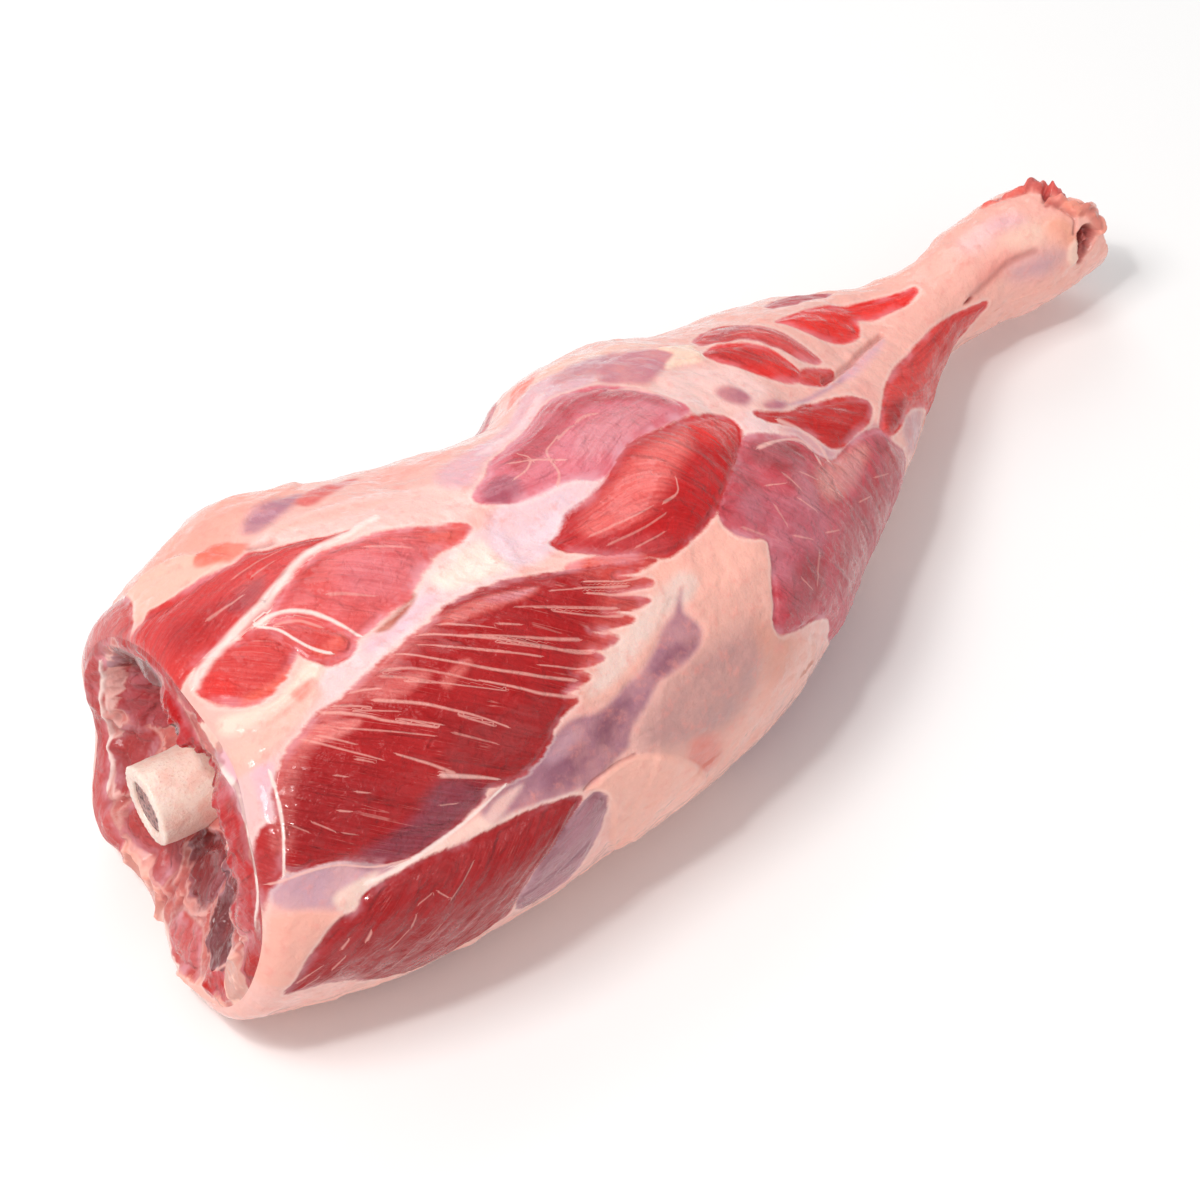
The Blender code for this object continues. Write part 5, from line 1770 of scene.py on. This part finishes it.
class LAMB_OT_bone(bpy.types.Operator):
    """Build the sawn thigh bone"""

    bl_idname = "lamb.bone"
    bl_label = "Thigh bone"

    def execute(self, context):
        material = bone_finish("sawn_bone", chosen_colours(context))
        add_piece("thigh_bone", bone_mesh("thigh_bone"), material, "femur")
        return {"FINISHED"}


class LAMB_OT_marrow(bpy.types.Operator):
    """Build the marrow in the bone"""

    bl_idname = "lamb.marrow"
    bl_label = "Marrow"

    def execute(self, context):
        material = marrow_finish("red_marrow", chosen_colours(context))
        add_piece("bone_marrow", marrow_mesh("bone_marrow"), material, "marrow")
        return {"FINISHED"}


CAMERA_AIM = (-0.0318, -0.0032, 0.0347)
CAMERA_AZIMUTH = -40.0
CAMERA_ELEVATION = 50.0
CAMERA_LENS = 120.0

# Soft lights: name, azimuth and elevation it shines from, distance, width, watts, colour.
LIGHTS = (
    ("key", -100.0, 60.0, 1.5, 0.5, 9.2, (1.0, 0.98, 0.96)),
    ("spark", -78.0, 64.0, 1.5, 0.12, 4.5, (1.0, 0.98, 0.96)),
    ("fill", 10.0, 40.0, 1.8, 1.2, 2.5, (1.0, 0.99, 0.99)),
    ("rim", 150.0, 45.0, 1.6, 0.8, 4.0, (1.0, 1.0, 1.0)),
)
WORLD_STRENGTH = 0.5


def direction(azimuth, elevation):
    """The direction to something that is seen at an azimuth and elevation, in degrees."""
    a = math.radians(azimuth)
    e = math.radians(elevation)
    return Vector((math.sin(a) * math.cos(e), -math.cos(a) * math.cos(e), math.sin(e)))


def aimed(item, aim, way, distance):
    """Puts a camera or light at a distance from what it points at."""
    item.location = Vector(aim) + way * distance
    item.rotation_mode = "QUATERNION"
    item.rotation_quaternion = (-way).to_track_quat("-Z", "Y")
    bpy.context.scene.collection.objects.link(item)


def add_floor(width, material):
    bm = bmesh.new()
    bmesh.ops.create_grid(bm, x_segments=1, y_segments=1, size=width / 2)
    mesh = bpy.data.meshes.new("floor")
    bm.to_mesh(mesh)
    bm.free()
    mesh.materials.append(material)
    floor = bpy.data.objects.new("floor", mesh)
    bpy.context.scene.collection.objects.link(floor)


class LAMB_OT_stage(bpy.types.Operator):
    """Add the floor, the soft lights and the camera"""

    bl_idname = "lamb.stage"
    bl_label = "Stage"

    def execute(self, context):
        sizes = context.scene.lamb_sizes
        add_floor(sizes.floor_width, floor_finish("pale_floor", chosen_colours(context)["floor"]))
        for name, azimuth, elevation, distance, width, watts, tint in LIGHTS:
            light = bpy.data.lights.new(name, "AREA")
            light.energy = watts
            light.size = width
            light.color = tint
            aimed(bpy.data.objects.new(name, light), CAMERA_AIM, direction(azimuth, elevation), distance)
        world = bpy.data.worlds.new("soft_room")
        world.use_nodes = True
        world.node_tree.nodes["Background"].inputs["Color"].default_value = (1.0, 1.0, 1.0, 1.0)
        world.node_tree.nodes["Background"].inputs["Strength"].default_value = WORLD_STRENGTH
        context.scene.world = world
        camera = bpy.data.cameras.new("camera")
        camera.lens = CAMERA_LENS
        way = direction(CAMERA_AZIMUTH, CAMERA_ELEVATION)
        item = bpy.data.objects.new("camera", camera)
        aimed(item, CAMERA_AIM, way, sizes.camera_distance)
        context.scene.camera = item
        context.scene.view_settings.view_transform = "Standard"
        return {"FINISHED"}


class LAMB_PT_panel(bpy.types.Panel):
    """The leg's settings and the operators that build it"""

    bl_idname = "LAMB_PT_panel"
    bl_label = "Leg of lamb"
    bl_space_type = "VIEW_3D"
    bl_region_type = "UI"
    bl_category = "Lamb"

    def draw(self, context):
        for group in (context.scene.lamb_sizes, context.scene.lamb_colours):
            box = self.layout.box()
            for name in type(group).__annotations__:
                box.prop(group, name)
        for operator in OPERATORS:
            self.layout.operator(operator.bl_idname)


OPERATORS = (LAMB_OT_side, LAMB_OT_cut, LAMB_OT_bone, LAMB_OT_marrow, LAMB_OT_stage)
CLASSES = (LambSizes, LambColours, *OPERATORS, LAMB_PT_panel)


def register():
    for item in CLASSES:
        bpy.utils.register_class(item)
    bpy.types.Scene.lamb_sizes = PointerProperty(type=LambSizes)
    bpy.types.Scene.lamb_colours = PointerProperty(type=LambColours)


def unregister():
    del bpy.types.Scene.lamb_sizes
    del bpy.types.Scene.lamb_colours
    for item in reversed(CLASSES):
        bpy.utils.unregister_class(item)


def main():
    register()
    bpy.ops.lamb.side()
    bpy.ops.lamb.cut()
    bpy.ops.lamb.bone()
    bpy.ops.lamb.marrow()
    bpy.ops.lamb.stage()


if __name__ == "__main__":
    main()
